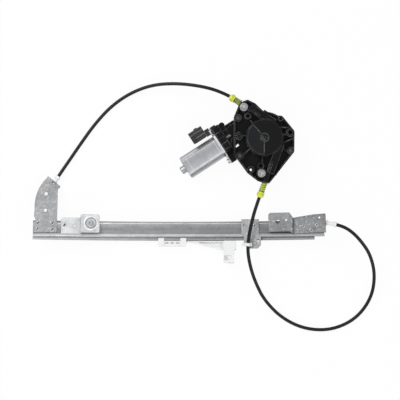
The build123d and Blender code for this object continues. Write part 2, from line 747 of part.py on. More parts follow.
with BuildPart() as damper:
    with BuildSketch(Plane.XY.offset(damper_z)):
        Circle(damper_r)
        Circle(hub_neck_r + 0.2, mode=Mode.SUBTRACT)
        with PolarLocations(lug_span, 3):
            Rectangle(lug_size[0] + 0.4, lug_size[1] + 0.4, mode=Mode.SUBTRACT)
    extrude(amount=damper_top - damper_z - 0.2)
save(damper.part, "damper")

drum_body_r = drum_pitch_r - wire_r
drum_cheek = 2
with BuildPart() as cable_drum:
    with BuildSketch(Plane.XY.offset(drum_z)):
        Circle(drum_flange_r)
    extrude(amount=drum_height)
    with BuildSketch(Plane.XY.offset(drum_z + drum_cheek)):
        Circle(drum_flange_r + 1)
        Circle(drum_body_r, mode=Mode.SUBTRACT)
    extrude(amount=drum_height - 2 * drum_cheek, mode=Mode.SUBTRACT)
    with BuildSketch(Plane.XY.offset(drum_z)):
        RegularPolygon(hub_neck_r + 0.1, 6)
    extrude(amount=hub_top - drum_z + 0.9, mode=Mode.SUBTRACT)
    with BuildSketch(Plane.XY.offset(drum_z)):
        Circle(pin_r + running)
    extrude(amount=drum_height, mode=Mode.SUBTRACT)
save(cable_drum.part, "cable_drum")

with BuildPart() as cable_winding:
    with BuildSketch(Plane.XY.offset(drum_z + drum_cheek + 1.5)):
        Circle(drum_body_r + seat_gap + 2 * wire_r)
        Circle(drum_body_r + seat_gap, mode=Mode.SUBTRACT)
    extrude(amount=drum_height - 2 * drum_cheek - 3.5)
save(cable_winding.part, "cable_winding")

# The motor's turning parts are drawn upright, then laid along the motor's axis
worm_pitch = math.pi * module
worm_turns = 6
worm_length = worm_turns * worm_pitch
thread_base = worm_pitch_r - tooth_drop - 0.1
thread_rise = tooth_rise + tooth_drop + 0.1
shaft_tail, shaft_tip = 6, 24
motor_frame = drive_plane(0).location


def lay(piece):
    """Turn a piece drawn along Z so that it lies on the motor's axis."""
    return piece.moved(motor_frame)


with BuildPart() as armature_shaft:
    with BuildSketch(Plane.XY.offset(can_end - shaft_tail)):
        Circle(shaft_r)
    extrude(amount=shaft_tip - can_end + shaft_tail)
    with BuildSketch(Plane.XY.offset(-13)):
        Circle(worm_pitch_r - tooth_drop)
    extrude(amount=26)
    with BuildLine():
        Helix(
            pitch=worm_pitch, height=worm_length, radius=thread_base,
            center=(0, 0, -worm_length / 2),
        )
    thread_start = Plane(
        origin=(thread_base, 0, -worm_length / 2), x_dir=(1, 0, 0), z_dir=(0, 1, 0),
    )
    with BuildSketch(thread_start):
        with BuildLine():
            Polyline((0, -0.9), (thread_rise, -0.3), (thread_rise, 0.3), (0, 0.9), close=True)
        make_face()
    sweep(is_frenet=True)
save(lay(armature_shaft.part), "armature_shaft")

core_start, core_end = can_end + 14, can_mouth - 20
core_r = can_r - can_wall - 4
pole_count = 8
with BuildPart() as armature_core:
    with BuildSketch(Plane.XY.offset(core_start)):
        Circle(core_r)
        Circle(shaft_r + running, mode=Mode.SUBTRACT)
        with PolarLocations(core_r - 2.8, pole_count):
            Rectangle(7.4, 2.6, mode=Mode.SUBTRACT)
    extrude(amount=core_end - core_start)
save(lay(armature_core.part), "armature_core")

with BuildPart() as windings:
    for start, end in ((core_start - 6, core_start - 0.2), (core_end + 0.2, core_end + 6)):
        with BuildSketch(Plane.XY.offset(start)):
            RegularPolygon(core_r - 1.8, 2 * pole_count)
            Circle(shaft_r + 1, mode=Mode.SUBTRACT)
        extrude(amount=end - start)
save(lay(windings.part), "windings")

commutator_start, commutator_end, commutator_r = core_end + 7.5, can_mouth - 3, 5.4
with BuildPart() as commutator:
    with BuildSketch(Plane.XY.offset(commutator_start)):
        RegularPolygon(commutator_r, 2 * pole_count)
        Circle(shaft_r + running, mode=Mode.SUBTRACT)
    extrude(amount=commutator_end - commutator_start)
save(lay(commutator.part), "commutator")

with BuildPart() as magnets:
    with BuildSketch(Plane.XY.offset(core_start - 2)):
        Circle(can_r - can_wall - 0.2)
        Circle(core_r + 0.9, mode=Mode.SUBTRACT)
        Rectangle(60, 22, mode=Mode.INTERSECT)
    extrude(amount=core_end - core_start + 4)
save(lay(magnets.part), "magnets")

tunnel_bore_r = 6.7
tail_bush_r = 5.0
with BuildPart() as shaft_bushes:
    for start, length, outer in (
        (can_end - 5.5, 5, tail_bush_r), (-47, 6, tunnel_bore_r - 0.1),
        (shaft_tip - 6, 6, tunnel_bore_r - 0.1),
    ):
        with BuildSketch(Plane.XY.offset(start)):
            Circle(outer)
            Circle(shaft_r + running, mode=Mode.SUBTRACT)
        extrude(amount=length)
save(lay(shaft_bushes.part), "shaft_bushes")

# The motor can: a drawn cup with two flats, a bearing cup on its end and a flange at its mouth
can_ear, can_ear_width = 28, 10
can_flange, can_flange_width = 2, 44
bearing_cup_r = 6.2
ears = [(can_ear, 0), (-can_ear, 0)]
with BuildPart() as motor_can:
    with BuildSketch(Plane.XY.offset(can_end)):
        Circle(can_r)
        Rectangle(2 * can_r, 2 * can_flat, mode=Mode.INTERSECT)
    extrude(amount=can_mouth - can_end)
    fillet(motor_can.faces().sort_by(Axis.Z)[0].edges(), radius=2.5)
    with BuildSketch(Plane.XY.offset(can_end - shaft_tail - 2)):
        Circle(bearing_cup_r)
    extrude(amount=shaft_tail + 3)
    fillet(motor_can.faces().sort_by(Axis.Z)[0].edges(), radius=1.8)
    with BuildSketch(Plane.XY.offset(can_mouth)):
        RectangleRounded(can_flange_width, 2 * can_flat - 1, 4)
        SlotCenterToCenter(2 * can_ear, can_ear_width)
    extrude(amount=can_flange)
    with BuildSketch(Plane.XY.offset(can_end + can_wall)):
        Circle(can_r - can_wall)
        Rectangle(2 * can_r, 2 * (can_flat - can_wall), mode=Mode.INTERSECT)
    extrude(amount=can_mouth + can_flange - can_end, mode=Mode.SUBTRACT)
    with BuildSketch(Plane.XY.offset(can_end - shaft_tail - 0.6)):
        Circle(tail_bush_r + seat_gap)
    extrude(amount=shaft_tail + 3, mode=Mode.SUBTRACT)
    with BuildSketch(Plane.XY.offset(can_mouth)):
        with Locations(*ears):
            Circle(screw_r + 0.1)
    extrude(amount=can_flange, mode=Mode.SUBTRACT)
save(lay(motor_can.part), "motor_can")

can_screw_length = 9
with BuildPart() as can_screws:
    with BuildSketch(Plane.XY.offset(can_mouth - 3.5)):
        with Locations(*ears):
            Circle(3.9)
            RegularPolygon(1.9, 6, mode=Mode.SUBTRACT)
    extrude(amount=3.5)
    with BuildSketch(Plane.XY.offset(can_mouth - 1.5)):
        with Locations(*ears):
            Circle(screw_r)
    extrude(amount=can_screw_length + 1.5)
save(lay(can_screws.part), "can_screws")

card_start, card_thick = can_mouth + can_flange + 0.2, 2.4
brush_width, brush_height = 5, 5
with BuildPart() as brush_card:
    with BuildSketch(Plane.XY.offset(card_start)):
        with Locations((-5, 0)):
            Rectangle(35.4, 24)
        Circle(commutator_r + 0.1, mode=Mode.SUBTRACT)
    extrude(amount=card_thick)
    with BuildSketch(Plane.XY.offset(commutator_start + 1)):
        with Locations((commutator_r + 5, 0), (-commutator_r - 5, 0)):
            Rectangle(7.2, brush_height + 2.4)
            Rectangle(8, brush_height + 0.2, mode=Mode.SUBTRACT)
    extrude(amount=card_start - commutator_start - 1)
save(lay(brush_card.part), "brush_card")

with BuildPart() as brushes:
    with BuildSketch(Plane.XY.offset(commutator_start + 2)):
        with Locations((commutator_r + 4.6, 0), (-commutator_r - 4.6, 0)):
            Rectangle(8.4, brush_height)
    extrude(amount=brush_width)
save(lay(brushes.part), "brushes")

# The connector: a deep socket beside the can, on a neck that comes from the brush card
socket_u = (-99, -75)
socket_v = (52.5, 71.2)
socket_z = (13, 30.5)
socket_wall = 1.7
rib_u = (socket_u[0] + 2, socket_u[1] - 1)
pin_pitch_v, pin_pitch_z = 4.3, 5.2


def drive_box(u, v, z):
    """A block given by its spans along the motor, beside it and upwards."""
    with BuildPart(mode=Mode.PRIVATE) as block:
        with BuildSketch(drive_top.offset(z[0])):
            with Locations(((u[0] + u[1]) / 2, (v[0] + v[1]) / 2)):
                Rectangle(u[1] - u[0], v[1] - v[0])
        extrude(amount=z[1] - z[0])
    return block.part


with BuildPart() as connector_socket:
    add(drive_box(socket_u, socket_v, socket_z))
    socket_length = socket_u[1] - socket_u[0]
    long_edges = connector_socket.edges().filter_by(
        lambda edge: abs(edge.length - socket_length) < 0.01
    )
    chamfer(long_edges, length=1.2)
    add(drive_box(
        (socket_u[0] - 1, socket_u[1] - 3),
        (socket_v[0] + socket_wall, socket_v[1] - socket_wall),
        (socket_z[0] + socket_wall, socket_z[1] - socket_wall),
    ), mode=Mode.SUBTRACT)
    # The neck, the latch's ramp and the ribs
    add(drive_box((socket_u[1], can_mouth - 1), (50.5, 62), (20.6, 29.5)))
    add(drive_box((can_mouth - 1, card_start + 1), (50.8, 55.6), (20.9, 27.8)))
    add(drive_box((-88, -82), (socket_v[1], socket_v[1] + 1.8), (19, 24)))
    for rib_z in (17, 25):
        add(drive_box(rib_u, (socket_v[0] - 0.9, socket_v[0]), (rib_z, rib_z + 1.2)))
    for rib_v in (57.5, 65.0):
        add(drive_box(rib_u, (rib_v, rib_v + 1.2), (socket_z[1], socket_z[1] + 0.8)))
save(connector_socket.part, "connector_socket")

with BuildPart() as connector_pins:
    with BuildSketch(drive_plane(socket_u[1] - 13.5)):
        pin_row = (socket_v[0] + socket_v[1]) / 2
        pin_level = (socket_z[0] + socket_z[1]) / 2
        with Locations((worm_offset - pin_row, worm_z - pin_level)):
            with GridLocations(pin_pitch_v, pin_pitch_z, 3, 2):
                Rectangle(1.2, 0.8)
    extrude(amount=10.5)
save(connector_pins.part, "connector_pins")

# The gear housing: a pot for the wheel, a tunnel for the worm, a mouth for the motor, and ears
ear_base = 14
ear_r = 6
mouth_start, mouth_depth = can_mouth + can_flange, 13
mouth_middle, mouth_size = (-7.75, -0.1), (46.1, 30)
mouth_wall = 1.7
cavity_end = 2
tunnel_r, tunnel_end = 9.5, 26
tunnel_low, tunnel_high = 10.5, pot_height - 0.1 - worm_z
tunnel_height, tunnel_middle = tunnel_low + tunnel_high, (tunnel_low - tunnel_high) / 2
funnel_low = mouth_size[1] / 2 + mouth_middle[1]
funnel_height, funnel_middle = funnel_low + tunnel_high, (funnel_low - tunnel_high) / 2
funnel_end = -26
with BuildPart() as gear_housing:
    with BuildSketch(Plane.XY):
        Circle(pot_r)
    extrude(amount=pot_height)
    for ear in screw_points:
        with BuildSketch(Plane.XY.offset(ear_base)):
            with Locations(ear):
                Circle(ear_r)
            Circle(pot_r - 12.5)
            make_hull()
        extrude(amount=pot_height - ear_base)
    # The worm's tunnel with its end plug, and the funnel that widens it to the motor's mouth
    with BuildSketch(drive_plane(funnel_end - 1)):
        with Locations((0, tunnel_middle)):
            RectangleRounded(2 * tunnel_r, tunnel_height, 4)
    extrude(amount=tunnel_end - funnel_end + 1)
    with BuildSketch(drive_plane(tunnel_end)):
        Circle(tunnel_bore_r)
    extrude(amount=1.6)
    with BuildSketch(drive_plane(mouth_start + mouth_depth)):
        with Locations((mouth_middle[0], funnel_middle)):
            RectangleRounded(mouth_size[0], funnel_height, 4)
    with BuildSketch(drive_plane(funnel_end)):
        with Locations((0, tunnel_middle)):
            RectangleRounded(2 * tunnel_r, tunnel_height, 4)
    loft()
    with BuildSketch(drive_plane(mouth_start)):
        with Locations(mouth_middle):
            RectangleRounded(*mouth_size, 3)
    extrude(amount=mouth_depth)
    with BuildSketch(drive_plane(mouth_start)):
        SlotCenterToCenter(2 * can_ear, can_ear_width + 1)
    extrude(amount=can_screw_length)
    # A boss beside the mouth
    with BuildSketch(drive_top.offset(ear_base)):
        with Locations((mouth_start + mouth_depth + 5, worm_offset + can_ear - 2)):
            Circle(4.8)
        with Locations((mouth_start + mouth_depth, worm_offset + can_ear - 4)):
            Circle(4.8)
        make_hull()
    extrude(amount=pot_height - 0.1 - ear_base)
    # The hollows
    with BuildSketch(Plane.XY.offset(pot_floor)):
        Circle(pot_r - pot_wall)
        Circle(7.5, mode=Mode.SUBTRACT)
    extrude(amount=pot_height, mode=Mode.SUBTRACT)
    with BuildSketch(Plane.XY.offset(wheel_z - 3.5)):
        Circle(7.6)
    extrude(amount=pot_height, mode=Mode.SUBTRACT)
    with BuildSketch(Plane.XY.offset(0.6)):
        Circle(pin_r + seat_gap)
    extrude(amount=10, mode=Mode.SUBTRACT)
    with BuildSketch(drive_plane(can_mouth)):
        Circle(tunnel_bore_r)
    extrude(amount=shaft_tip + 0.4 - can_mouth, mode=Mode.SUBTRACT)
    with BuildSketch(drive_plane(can_mouth)):
        with Locations((mouth_middle[0] + 0.5, mouth_middle[1])):
            RectangleRounded(mouth_size[0] - 2 * mouth_wall, mouth_size[1] - 3 * mouth_wall, 1.5)
    extrude(amount=can_flange + mouth_depth - cavity_end, mode=Mode.SUBTRACT)
    with BuildSketch(drive_plane(can_mouth)):
        with Locations(*ears):
            Circle(screw_r + 0.1)
    extrude(amount=can_screw_length + 3, mode=Mode.SUBTRACT)
    with BuildSketch(Plane.XY.offset(ear_base)):
        with Locations(*screw_points):
            Circle(screw_r + 0.15)
    extrude(amount=pot_height - ear_base + 1, mode=Mode.SUBTRACT)
save(gear_housing.part, "gear_housing")

pin_base = 0.7
with BuildPart() as axle_pin:
    with BuildSketch(Plane.XY.offset(pin_base)):
        Circle(pin_r)
    extrude(amount=chamber_top - 0.4 - pin_base)
save(axle_pin.part, "axle_pin")

with BuildPart() as gear_cover:
    with BuildSketch(Plane.XY.offset(pot_height - 2.4)):
        Circle(pot_r - pot_wall - 0.15)
        Circle(9, mode=Mode.SUBTRACT)
    extrude(amount=1.6)
save(gear_cover.part, "gear_cover")


# Each adjuster: the cable's direction, then its spring's start and its cap's end along the cable
adjusters = ((upper_exit_angle, 61.2, 80.4), (lower_exit_angle, 67.0, 90.4))


# The drum housing: a ribbed moulding over the gear housing, with a round cover over the drum
def exit_plane(angle, distance):
    """The plane square to a cable where it leaves the drum, facing away from the drum."""
    touch = polar(angle - 90 if angle < 180 else angle + 90, drum_pitch_r)
    place = touch + polar(angle, distance)
    return Plane(origin=(place.X, place.Y, wire_exit_z), x_dir=(0, 0, 1), z_dir=polar(angle, 1))


def way_plane(angle, height):
    """The level plane whose x axis runs under a cable as it leaves the drum."""
    start = exit_plane(angle, 0)
    return Plane(
        origin=(start.origin.X, start.origin.Y, height), x_dir=start.z_dir, z_dir=(0, 0, 1),
    )


def hull_of(circles):
    """The outline that wraps round circles given by their places and radii."""
    with BuildSketch(mode=Mode.PRIVATE) as wrap:
        make_hull([
            Edge.make_circle(radius, Plane(origin=(place[0], place[1], 0)))
            for place, radius in circles
        ])
    return wrap.sketch


ribs = [
    ((39.2, 16), (22, 16)), ((34, 5), (26, 5)), ((44.8, -1.6), (26, -10)), ((-34, 3), (-27, 3.2)),
    ((-33.6, -27.2), (-22, -17)), ((-3.2, -27), (-3.2, -40)), ((-22.4, 27.2), (-14, 19)),
    ((-24, 46.4), (-15.2, 54.4)), ((9.6, -57.6), (19.2, -59.2)), ((25, -14.4), (36.8, -22.4)),
]
rib_top, rib_width = pot_height + 12, 1.6
screw_seat, screw_head_r, screw_head = pot_height + 11, 4.2, 2.2
stud_seat = pot_height + 15
bush_length = 14.2
ring_boss, small_boss, low_boss, top_boss = (-26.4, 34.4), (-5.6, -45.2), (-21.6, -51.2), (25.6, 30)
keyed_boss, keyed_r = (-40.8, 2.6), 6.4
window, window_size = (-43.4, -12.0), (5.6, 4.4)
floor_top = pot_height + housing_floor
# Bosses: place, outer radius, height of top, hole radius, height of the hole's floor
bosses = [
    (stud_points[0], 7.4, stud_seat, stud_r + 0.1, pot_height),
    (stud_points[1], 8.0, stud_seat, stud_r + 0.1, pot_height),
    (bush_point, 6.9, pot_height + 14, bush_r + seat_gap, pot_height),
    (screw_points[0], 5.8, screw_seat + 2.4, screw_r + 0.15, pot_height),
    (screw_points[1], 6.4, screw_seat + 2.4, screw_r + 0.15, pot_height),
    (screw_points[2], 5.8, screw_seat + 2.4, screw_r + 0.15, pot_height),
    (ring_boss, 5.2, rib_top, 3.4, floor_top), (small_boss, 5.2, rib_top, 3.4, floor_top),
    (low_boss, 5.4, rib_top + 1, 2.0, pot_height), (top_boss, 4.2, rib_top + 1, 2.6, floor_top),
]
outline_low = [
    ((-39.2, -24.5), 9.2), (screw_points[0], 6.4), (low_boss, 7.4), ((-4.8, -58.4), 12),
    ((5.6, -68.8), 4.2), (screw_points[2], 5.8), (bush_point, 6.9), (top_boss, 4.8),
]
outline_high = [
    (screw_points[0], 6.4), (stud_points[0], 9), ((-27, 56), 4), ((-16.5, 51.5), 3.2),
    ((0, 0), chamber_r + housing_wall),
]
cover_ledge = 1.5
hub_ring_r = 7
with BuildSketch() as housing_outline:
    add(hull_of(outline_low))
    add(hull_of(outline_high))
    Circle(chamber_r + housing_wall + 11.5)
with BuildPart() as drum_housing:
    with BuildSketch(Plane.XY.offset(pot_height)):
        add(housing_outline.sketch)
    extrude(amount=housing_floor)
    with BuildSketch(Plane.XY.offset(floor_top)):
        add(housing_outline.sketch)
        offset(housing_outline.sketch, amount=-housing_wall, mode=Mode.SUBTRACT)
    extrude(amount=housing_rim - housing_floor)
    with BuildSketch(Plane.XY.offset(pot_height)):
        Circle(chamber_r + housing_wall)
    extrude(amount=cover_top - pot_height)
    chamfer(drum_housing.faces().sort_by(Axis.Z)[-1].edges(), length=cover_ledge)
    for (angle, spring_seat, cap_end), reach, side in zip(adjusters, (45, 50), (-1, 1)):
        with BuildSketch(way_plane(angle, pot_height)):
            with Locations((reach / 2, side * 2.5)):
                Rectangle(reach, 12)
        extrude(amount=cover_top - cover_ledge - pot_height)
        with BuildSketch(exit_plane(angle, reach - 1)):
            Circle(spring_r + 1)
        extrude(amount=spring_seat - reach)
    for place, outer, top, hole, hole_floor in bosses:
        with BuildSketch(Plane.XY.offset(pot_height)):
            with Locations(place):
                Circle(outer)
        extrude(amount=top - pot_height)
    with BuildSketch(Plane.XY.offset(pot_height)):
        with Locations(keyed_boss):
            Circle(keyed_r)
    extrude(amount=housing_rim)
    for start, end in ribs:
        run = Vector(*end) - Vector(*start)
        with BuildSketch(Plane(
            origin=(start[0], start[1], pot_height), x_dir=run.normalized(), z_dir=(0, 0, 1),
        )):
            with Locations((run.length / 2, 0)):
                Rectangle(run.length, rib_width)
        extrude(amount=rib_top - pot_height)
    # A hub ring on the cover, short spokes beside it and two long fine ribs
    with BuildSketch(Plane.XY.offset(cover_top)):
        Circle(hub_ring_r)
        Circle(hub_ring_r - 1.2, mode=Mode.SUBTRACT)
        Circle(2)
        with PolarLocations(hub_ring_r - 2.8, 5, 150, 150):
            Rectangle(3.4, 1.2)
        for heading in (132, 268):
            with Locations(Location((0, 0, 0), (0, 0, heading))):
                with Locations((hub_ring_r + 9.4, 0)):
                    Rectangle(19.6, 0.8)
    extrude(amount=0.5)
    # The drum's chamber, the cable ways and all the holes
    with BuildSketch(Plane.XY.offset(pot_height)):
        Circle(chamber_r)
    extrude(amount=chamber_top - pot_height, mode=Mode.SUBTRACT)
    for (angle, spring_seat, cap_end), slot in zip(adjusters, ((26, 41), (33, 48))):
        with BuildSketch(exit_plane(angle, 4)):
            Rectangle(3.4, 3.4)
        extrude(amount=spring_seat - 3, mode=Mode.SUBTRACT)
        with BuildSketch(way_plane(angle, wire_exit_z)):
            with Locations(((slot[0] + slot[1]) / 2, 0)):
                Rectangle(slot[1] - slot[0], 2.6)
        extrude(amount=cover_top - wire_exit_z, mode=Mode.SUBTRACT)
        with BuildSketch(exit_plane(angle, spring_seat - 0.2)):
            Circle(spring_r + spring_wire)
        extrude(amount=20, mode=Mode.SUBTRACT)
    for place, outer, top, hole, hole_floor in bosses:
        with BuildSketch(Plane.XY.offset(hole_floor)):
            with Locations(place):
                Circle(hole)
        extrude(amount=top - hole_floor + 1, mode=Mode.SUBTRACT)
    with BuildSketch(Plane.XY.offset(screw_seat)):
        with Locations(*screw_points):
            Circle(screw_head_r + 0.4)
    extrude(amount=10, mode=Mode.SUBTRACT)
    with BuildSketch(Plane.XY.offset(floor_top + 2)):
        with Locations(Location((*keyed_boss, 0), (0, 0, motor_angle))):
            Circle(keyed_r - 1.6)
            Rectangle(5.6, 5.6, mode=Mode.SUBTRACT)
    extrude(amount=housing_rim, mode=Mode.SUBTRACT)
    with BuildSketch(Plane.XY.offset(pot_height)):
        with Locations(Location((*window, 0), (0, 0, motor_angle))):
            Rectangle(*window_size)
    extrude(amount=housing_rim, mode=Mode.SUBTRACT)
    # The web that closes the bush's boss from below
    with BuildSketch(Plane.XY.offset(pot_height - 1.2)):
        with Locations(bush_point):
            Circle(bush_r + 1.6)
    extrude(amount=1.2)
save(drum_housing.part, "drum_housing")

with BuildPart() as housing_screws:
    with BuildSketch(Plane.XY.offset(screw_seat)):
        with Locations(*screw_points):
            Circle(screw_head_r)
            RegularPolygon(1.9, 6, mode=Mode.SUBTRACT)
    extrude(amount=screw_head)
    with BuildSketch(Plane.XY.offset(ear_base + 3)):
        with Locations(*screw_points):
            Circle(screw_r)
    extrude(amount=screw_seat + 1 - ear_base - 3)
save(housing_screws.part, "housing_screws")

stud_root = wire_exit_z + 2.6
with BuildPart() as fixing_studs:
    with BuildSketch(Plane.XY.offset(stud_root)):
        with Locations(*stud_points):
            Circle(stud_r)
    extrude(amount=stud_top - stud_root)
    chamfer(fixing_studs.faces().group_by(Axis.Z)[-1].edges(), length=0.8)
    with BuildSketch(Plane.XY.offset(stud_seat)):
        with Locations(*stud_points):
            Circle(stud_flange_r)
    extrude(amount=2)
save(fixing_studs.part, "fixing_studs")

with BuildPart() as mount_bush:
    with BuildSketch(Plane.XY.offset(pot_height + 0.2)):
        with Locations(bush_point):
            Circle(bush_r)
            Circle(bush_bore_r, mode=Mode.SUBTRACT)
    extrude(amount=bush_length)
save(mount_bush.part, "mount_bush")

# Cable exits: wire, sleeve, spring and cap on each
wire_clear = 9.5
with BuildPart() as exit_wires:
    for angle, start, end in adjusters:
        with BuildSketch(exit_plane(angle, wire_clear)):
            Circle(wire_r)
        extrude(amount=end - wire_clear - 1)
save(exit_wires.part, "exit_wires")

with BuildPart() as adjuster_sleeves:
    for angle, start, end in adjusters:
        with BuildSketch(exit_plane(angle, start)):
            Circle(sleeve_r)
            Circle(wire_r + slip, mode=Mode.SUBTRACT)
        extrude(amount=end - start - cap_length + 2)
save(adjuster_sleeves.part, "adjuster_sleeves")

with BuildPart() as adjuster_caps:
    for angle, start, end in adjusters:
        with BuildSketch(exit_plane(angle, end - cap_length)):
            Circle(cap_r)
        extrude(amount=cap_length)
        with BuildSketch(exit_plane(angle, end - cap_length)):
            Circle(sleeve_r + 0.1)
        extrude(amount=2.2, mode=Mode.SUBTRACT)
        with BuildSketch(exit_plane(angle, end - cap_length)):
            Circle(wire_r + slip)
        extrude(amount=cap_length, mode=Mode.SUBTRACT)
save(adjuster_caps.part, "adjuster_caps")


def spring(length, turns):
    """A compression spring drawn along Z."""
    pitch = (length - spring_wire) / turns
    with BuildPart(mode=Mode.PRIVATE) as coil:
        with BuildLine() as rise:
            Helix(
                pitch=pitch, height=turns * pitch, radius=spring_r,
                center=(0, 0, spring_wire / 2),
            )
        with BuildSketch(Plane(
            origin=(spring_r, 0, spring_wire / 2), x_dir=(1, 0, 0), z_dir=(0, 1, 0),
        )):
            Rectangle(spring_wire, spring_wire)
        sweep(path=rise.wires()[0], is_frenet=True)
    return coil.part


spring_coils = [
    spring(end - start - cap_length - 0.4, 4.5).moved(exit_plane(angle, start + 0.2).location)
    for angle, start, end in adjusters
]
save(Compound(children=spring_coils), "adjuster_springs")


def corner_radii(points):
    """Arc radius at each corner: 0.45 of the shorter run over the tangent of half the turn."""
    radii = []
    for before, here, after in zip(points, points[1:], points[2:]):
        run_in, run_out = Vector(*here) - Vector(*before), Vector(*after) - Vector(*here)
        half_turn = math.radians(run_in.get_angle(run_out)) / 2
        radii.append(0.45 * min(run_in.length, run_out.length) / math.tan(half_turn))
    return radii


for name, route in (("conduit_upper", upper_route), ("conduit_lower", lower_route)):
    radii = corner_radii(route)
    with BuildPart() as conduit:
        with BuildLine() as centre_line:
            FilletPolyline(*route, radius=radii)
        line = centre_line.wires()[0]
        with BuildSketch(Plane(origin=line @ 0, z_dir=line % 0)):
            Circle(conduit_r)
        sweep(path=line)
    save(conduit.part, name)
    runs = [round((Vector(*b) - Vector(*a)).length, 1) for a, b in zip(route, route[1:])]
    print(name, "runs", runs, "radii", [round(r) for r in radii], "length", round(line.length, 1))
    print("volume share", round(conduit.part.volume / (math.pi * conduit_r**2 * line.length), 4))
    print("last points", [tuple(round(value, 2) for value in point) for point in route[-2:]])
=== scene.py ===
import json
import math

import bmesh
import bpy
from mathutils import Matrix, Vector


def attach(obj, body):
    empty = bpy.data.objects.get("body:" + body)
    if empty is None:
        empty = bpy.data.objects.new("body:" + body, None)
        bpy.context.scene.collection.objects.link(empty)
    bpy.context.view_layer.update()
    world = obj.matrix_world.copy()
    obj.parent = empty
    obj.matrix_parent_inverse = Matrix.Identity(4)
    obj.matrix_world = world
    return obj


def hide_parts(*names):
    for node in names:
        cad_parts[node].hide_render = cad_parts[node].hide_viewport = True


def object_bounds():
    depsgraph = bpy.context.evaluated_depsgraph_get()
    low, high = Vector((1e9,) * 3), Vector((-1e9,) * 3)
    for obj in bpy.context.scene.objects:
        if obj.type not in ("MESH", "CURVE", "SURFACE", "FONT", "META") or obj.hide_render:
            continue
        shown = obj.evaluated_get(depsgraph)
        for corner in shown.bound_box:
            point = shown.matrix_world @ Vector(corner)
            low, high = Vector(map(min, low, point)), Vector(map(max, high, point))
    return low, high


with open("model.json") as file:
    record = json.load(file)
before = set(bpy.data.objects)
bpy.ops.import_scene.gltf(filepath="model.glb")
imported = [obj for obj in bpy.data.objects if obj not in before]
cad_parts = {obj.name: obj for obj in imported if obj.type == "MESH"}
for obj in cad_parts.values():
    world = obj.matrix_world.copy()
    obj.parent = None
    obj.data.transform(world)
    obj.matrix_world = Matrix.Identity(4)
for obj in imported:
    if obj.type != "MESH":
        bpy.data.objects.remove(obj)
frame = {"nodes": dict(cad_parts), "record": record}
cad_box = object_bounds()
nodes = frame["nodes"]

mm = 0.001
mm_per_metre = 1000.0

# The camera looks straight down. In metres: its picture's width and middle, at the parts' middle
# height, and its own height over that. The sensor's width is in millimetres.
picture_width = 0.640
picture_middle = Vector((-0.1024, -0.0992, 0.020))
camera_height = 2.2
sensor = 36.0


def place_camera():
    """The camera above the parts, squarely over the picture's middle."""
    lens = bpy.data.cameras.new("camera_above")
    lens.sensor_width = sensor
    lens.lens = sensor * camera_height / picture_width
    lens.clip_end = 20
    camera = bpy.data.objects.new("camera_above", lens)
    camera.location = picture_middle + Vector((0, 0, camera_height))
    bpy.context.scene.collection.objects.link(camera)
    bpy.context.scene.camera = camera


# Routes of the two conduits, in millimetres, from the drum to the rail's ends
conduit_width = 5.5
upper_route = [
    (-54.4, 65.1, 34.0), (-72.0, 74.2, 33.8), (-102.5, 82.6, 29.5), (-140.5, 87.6, 20.0),
    (-178.5, 86.0, 10.5), (-213.5, 73.8, 4.5), (-244.5, 53.0, 3.1), (-271.0, 24.5, 3.1),
    (-294.0, -7.5, 3.1), (-312.0, -34.0, 3.3), (-322.77, -49.76, 5.36), (-332.47, -64.68, 7.67),
]
lower_route = [
    (-7.5, -93.6, 34.0), (-15.2, -115.0, 34.0), (-20.6, -137.0, 32.0), (-24.9, -158.5, 28.7),
    (-26.4, -181.0, 25.0), (-22.0, -206.0, 18.4), (-13.0, -232.5, 11.4), (1.5, -261.0, 6.0),
    (30.0, -290.0, 3.2), (67.0, -307.5, 3.1), (110.0, -309.0, 3.1), (149.0, -291.0, 3.2),
    (173.5, -257.5, 6.0), (178.5, -220.0, 15.5), (169.5, -186.0, 26.0), (152.5, -162.5, 30.4),
    (137.5, -148.0, 29.6), (123.18, -140.24, 27.07), (111.45, -137.77, 25.32),
]
conduit_routes = {"conduit_upper": upper_route, "conduit_lower": lower_route}

# Sizes that the part's source has too, or that follow from it, in millimetres
motor_angle = math.radians(33)
stud_points = [(-32.8, 48.0), (-4.8, -56.8)]
stud_r, stud_seat, stud_root, stud_top = 3.0, 40, 36.6, 58
stud_flange_r, stud_flange = 6.4, 2
screw_points = [(-42.4, 31.2), (-39.2, -28.8), (41.6, -20.8)]
screw_r, screw_low, screw_seat, screw_head_r, screw_head = 2.2, 17, 36, 4.2, 2.2
drum_pitch_r, wire_exit_z = 25, 34
spring_r, cap_r, cap_length, sleeve_r, wire_hole_r = 4.9, 6.0, 7, 3.9, 1.05
rail_lean, rail_bow_radius = math.radians(8.5), 1400
rail_centre = Vector((-136.5, -148.5, 11.06))
sheet, plate_gap, web_bottom = 1.5, 0.05, -2.3
rivet_r, rivet_head_r, rivet_hollow_r = 1.9, 2.9, 1.1
mount_along, mount_stud = -172, (30.7, 10.4)
mount_pad_low, mount_pad_top, rail_stud_length = 7.147, 8.947, 13.8
# Each adjuster: the cable's direction, then its spring's start and its cap's end along the cable
adjusters = ((147, 61.2, 80.4), (250, 67.0, 90.4))


class Value:
    """A shader socket that sums and products are written with."""

    def __init__(self, finish, socket):
        self.finish = finish
        self.socket = socket

    def __add__(self, other):
        return self.finish.number("ADD", self, other)

    def __sub__(self, other):
        return self.finish.number("SUBTRACT", self, other)

    def __rsub__(self, other):
        return self.finish.number("SUBTRACT", other, self)

    def __mul__(self, other):
        return self.finish.number("MULTIPLY", self, other)


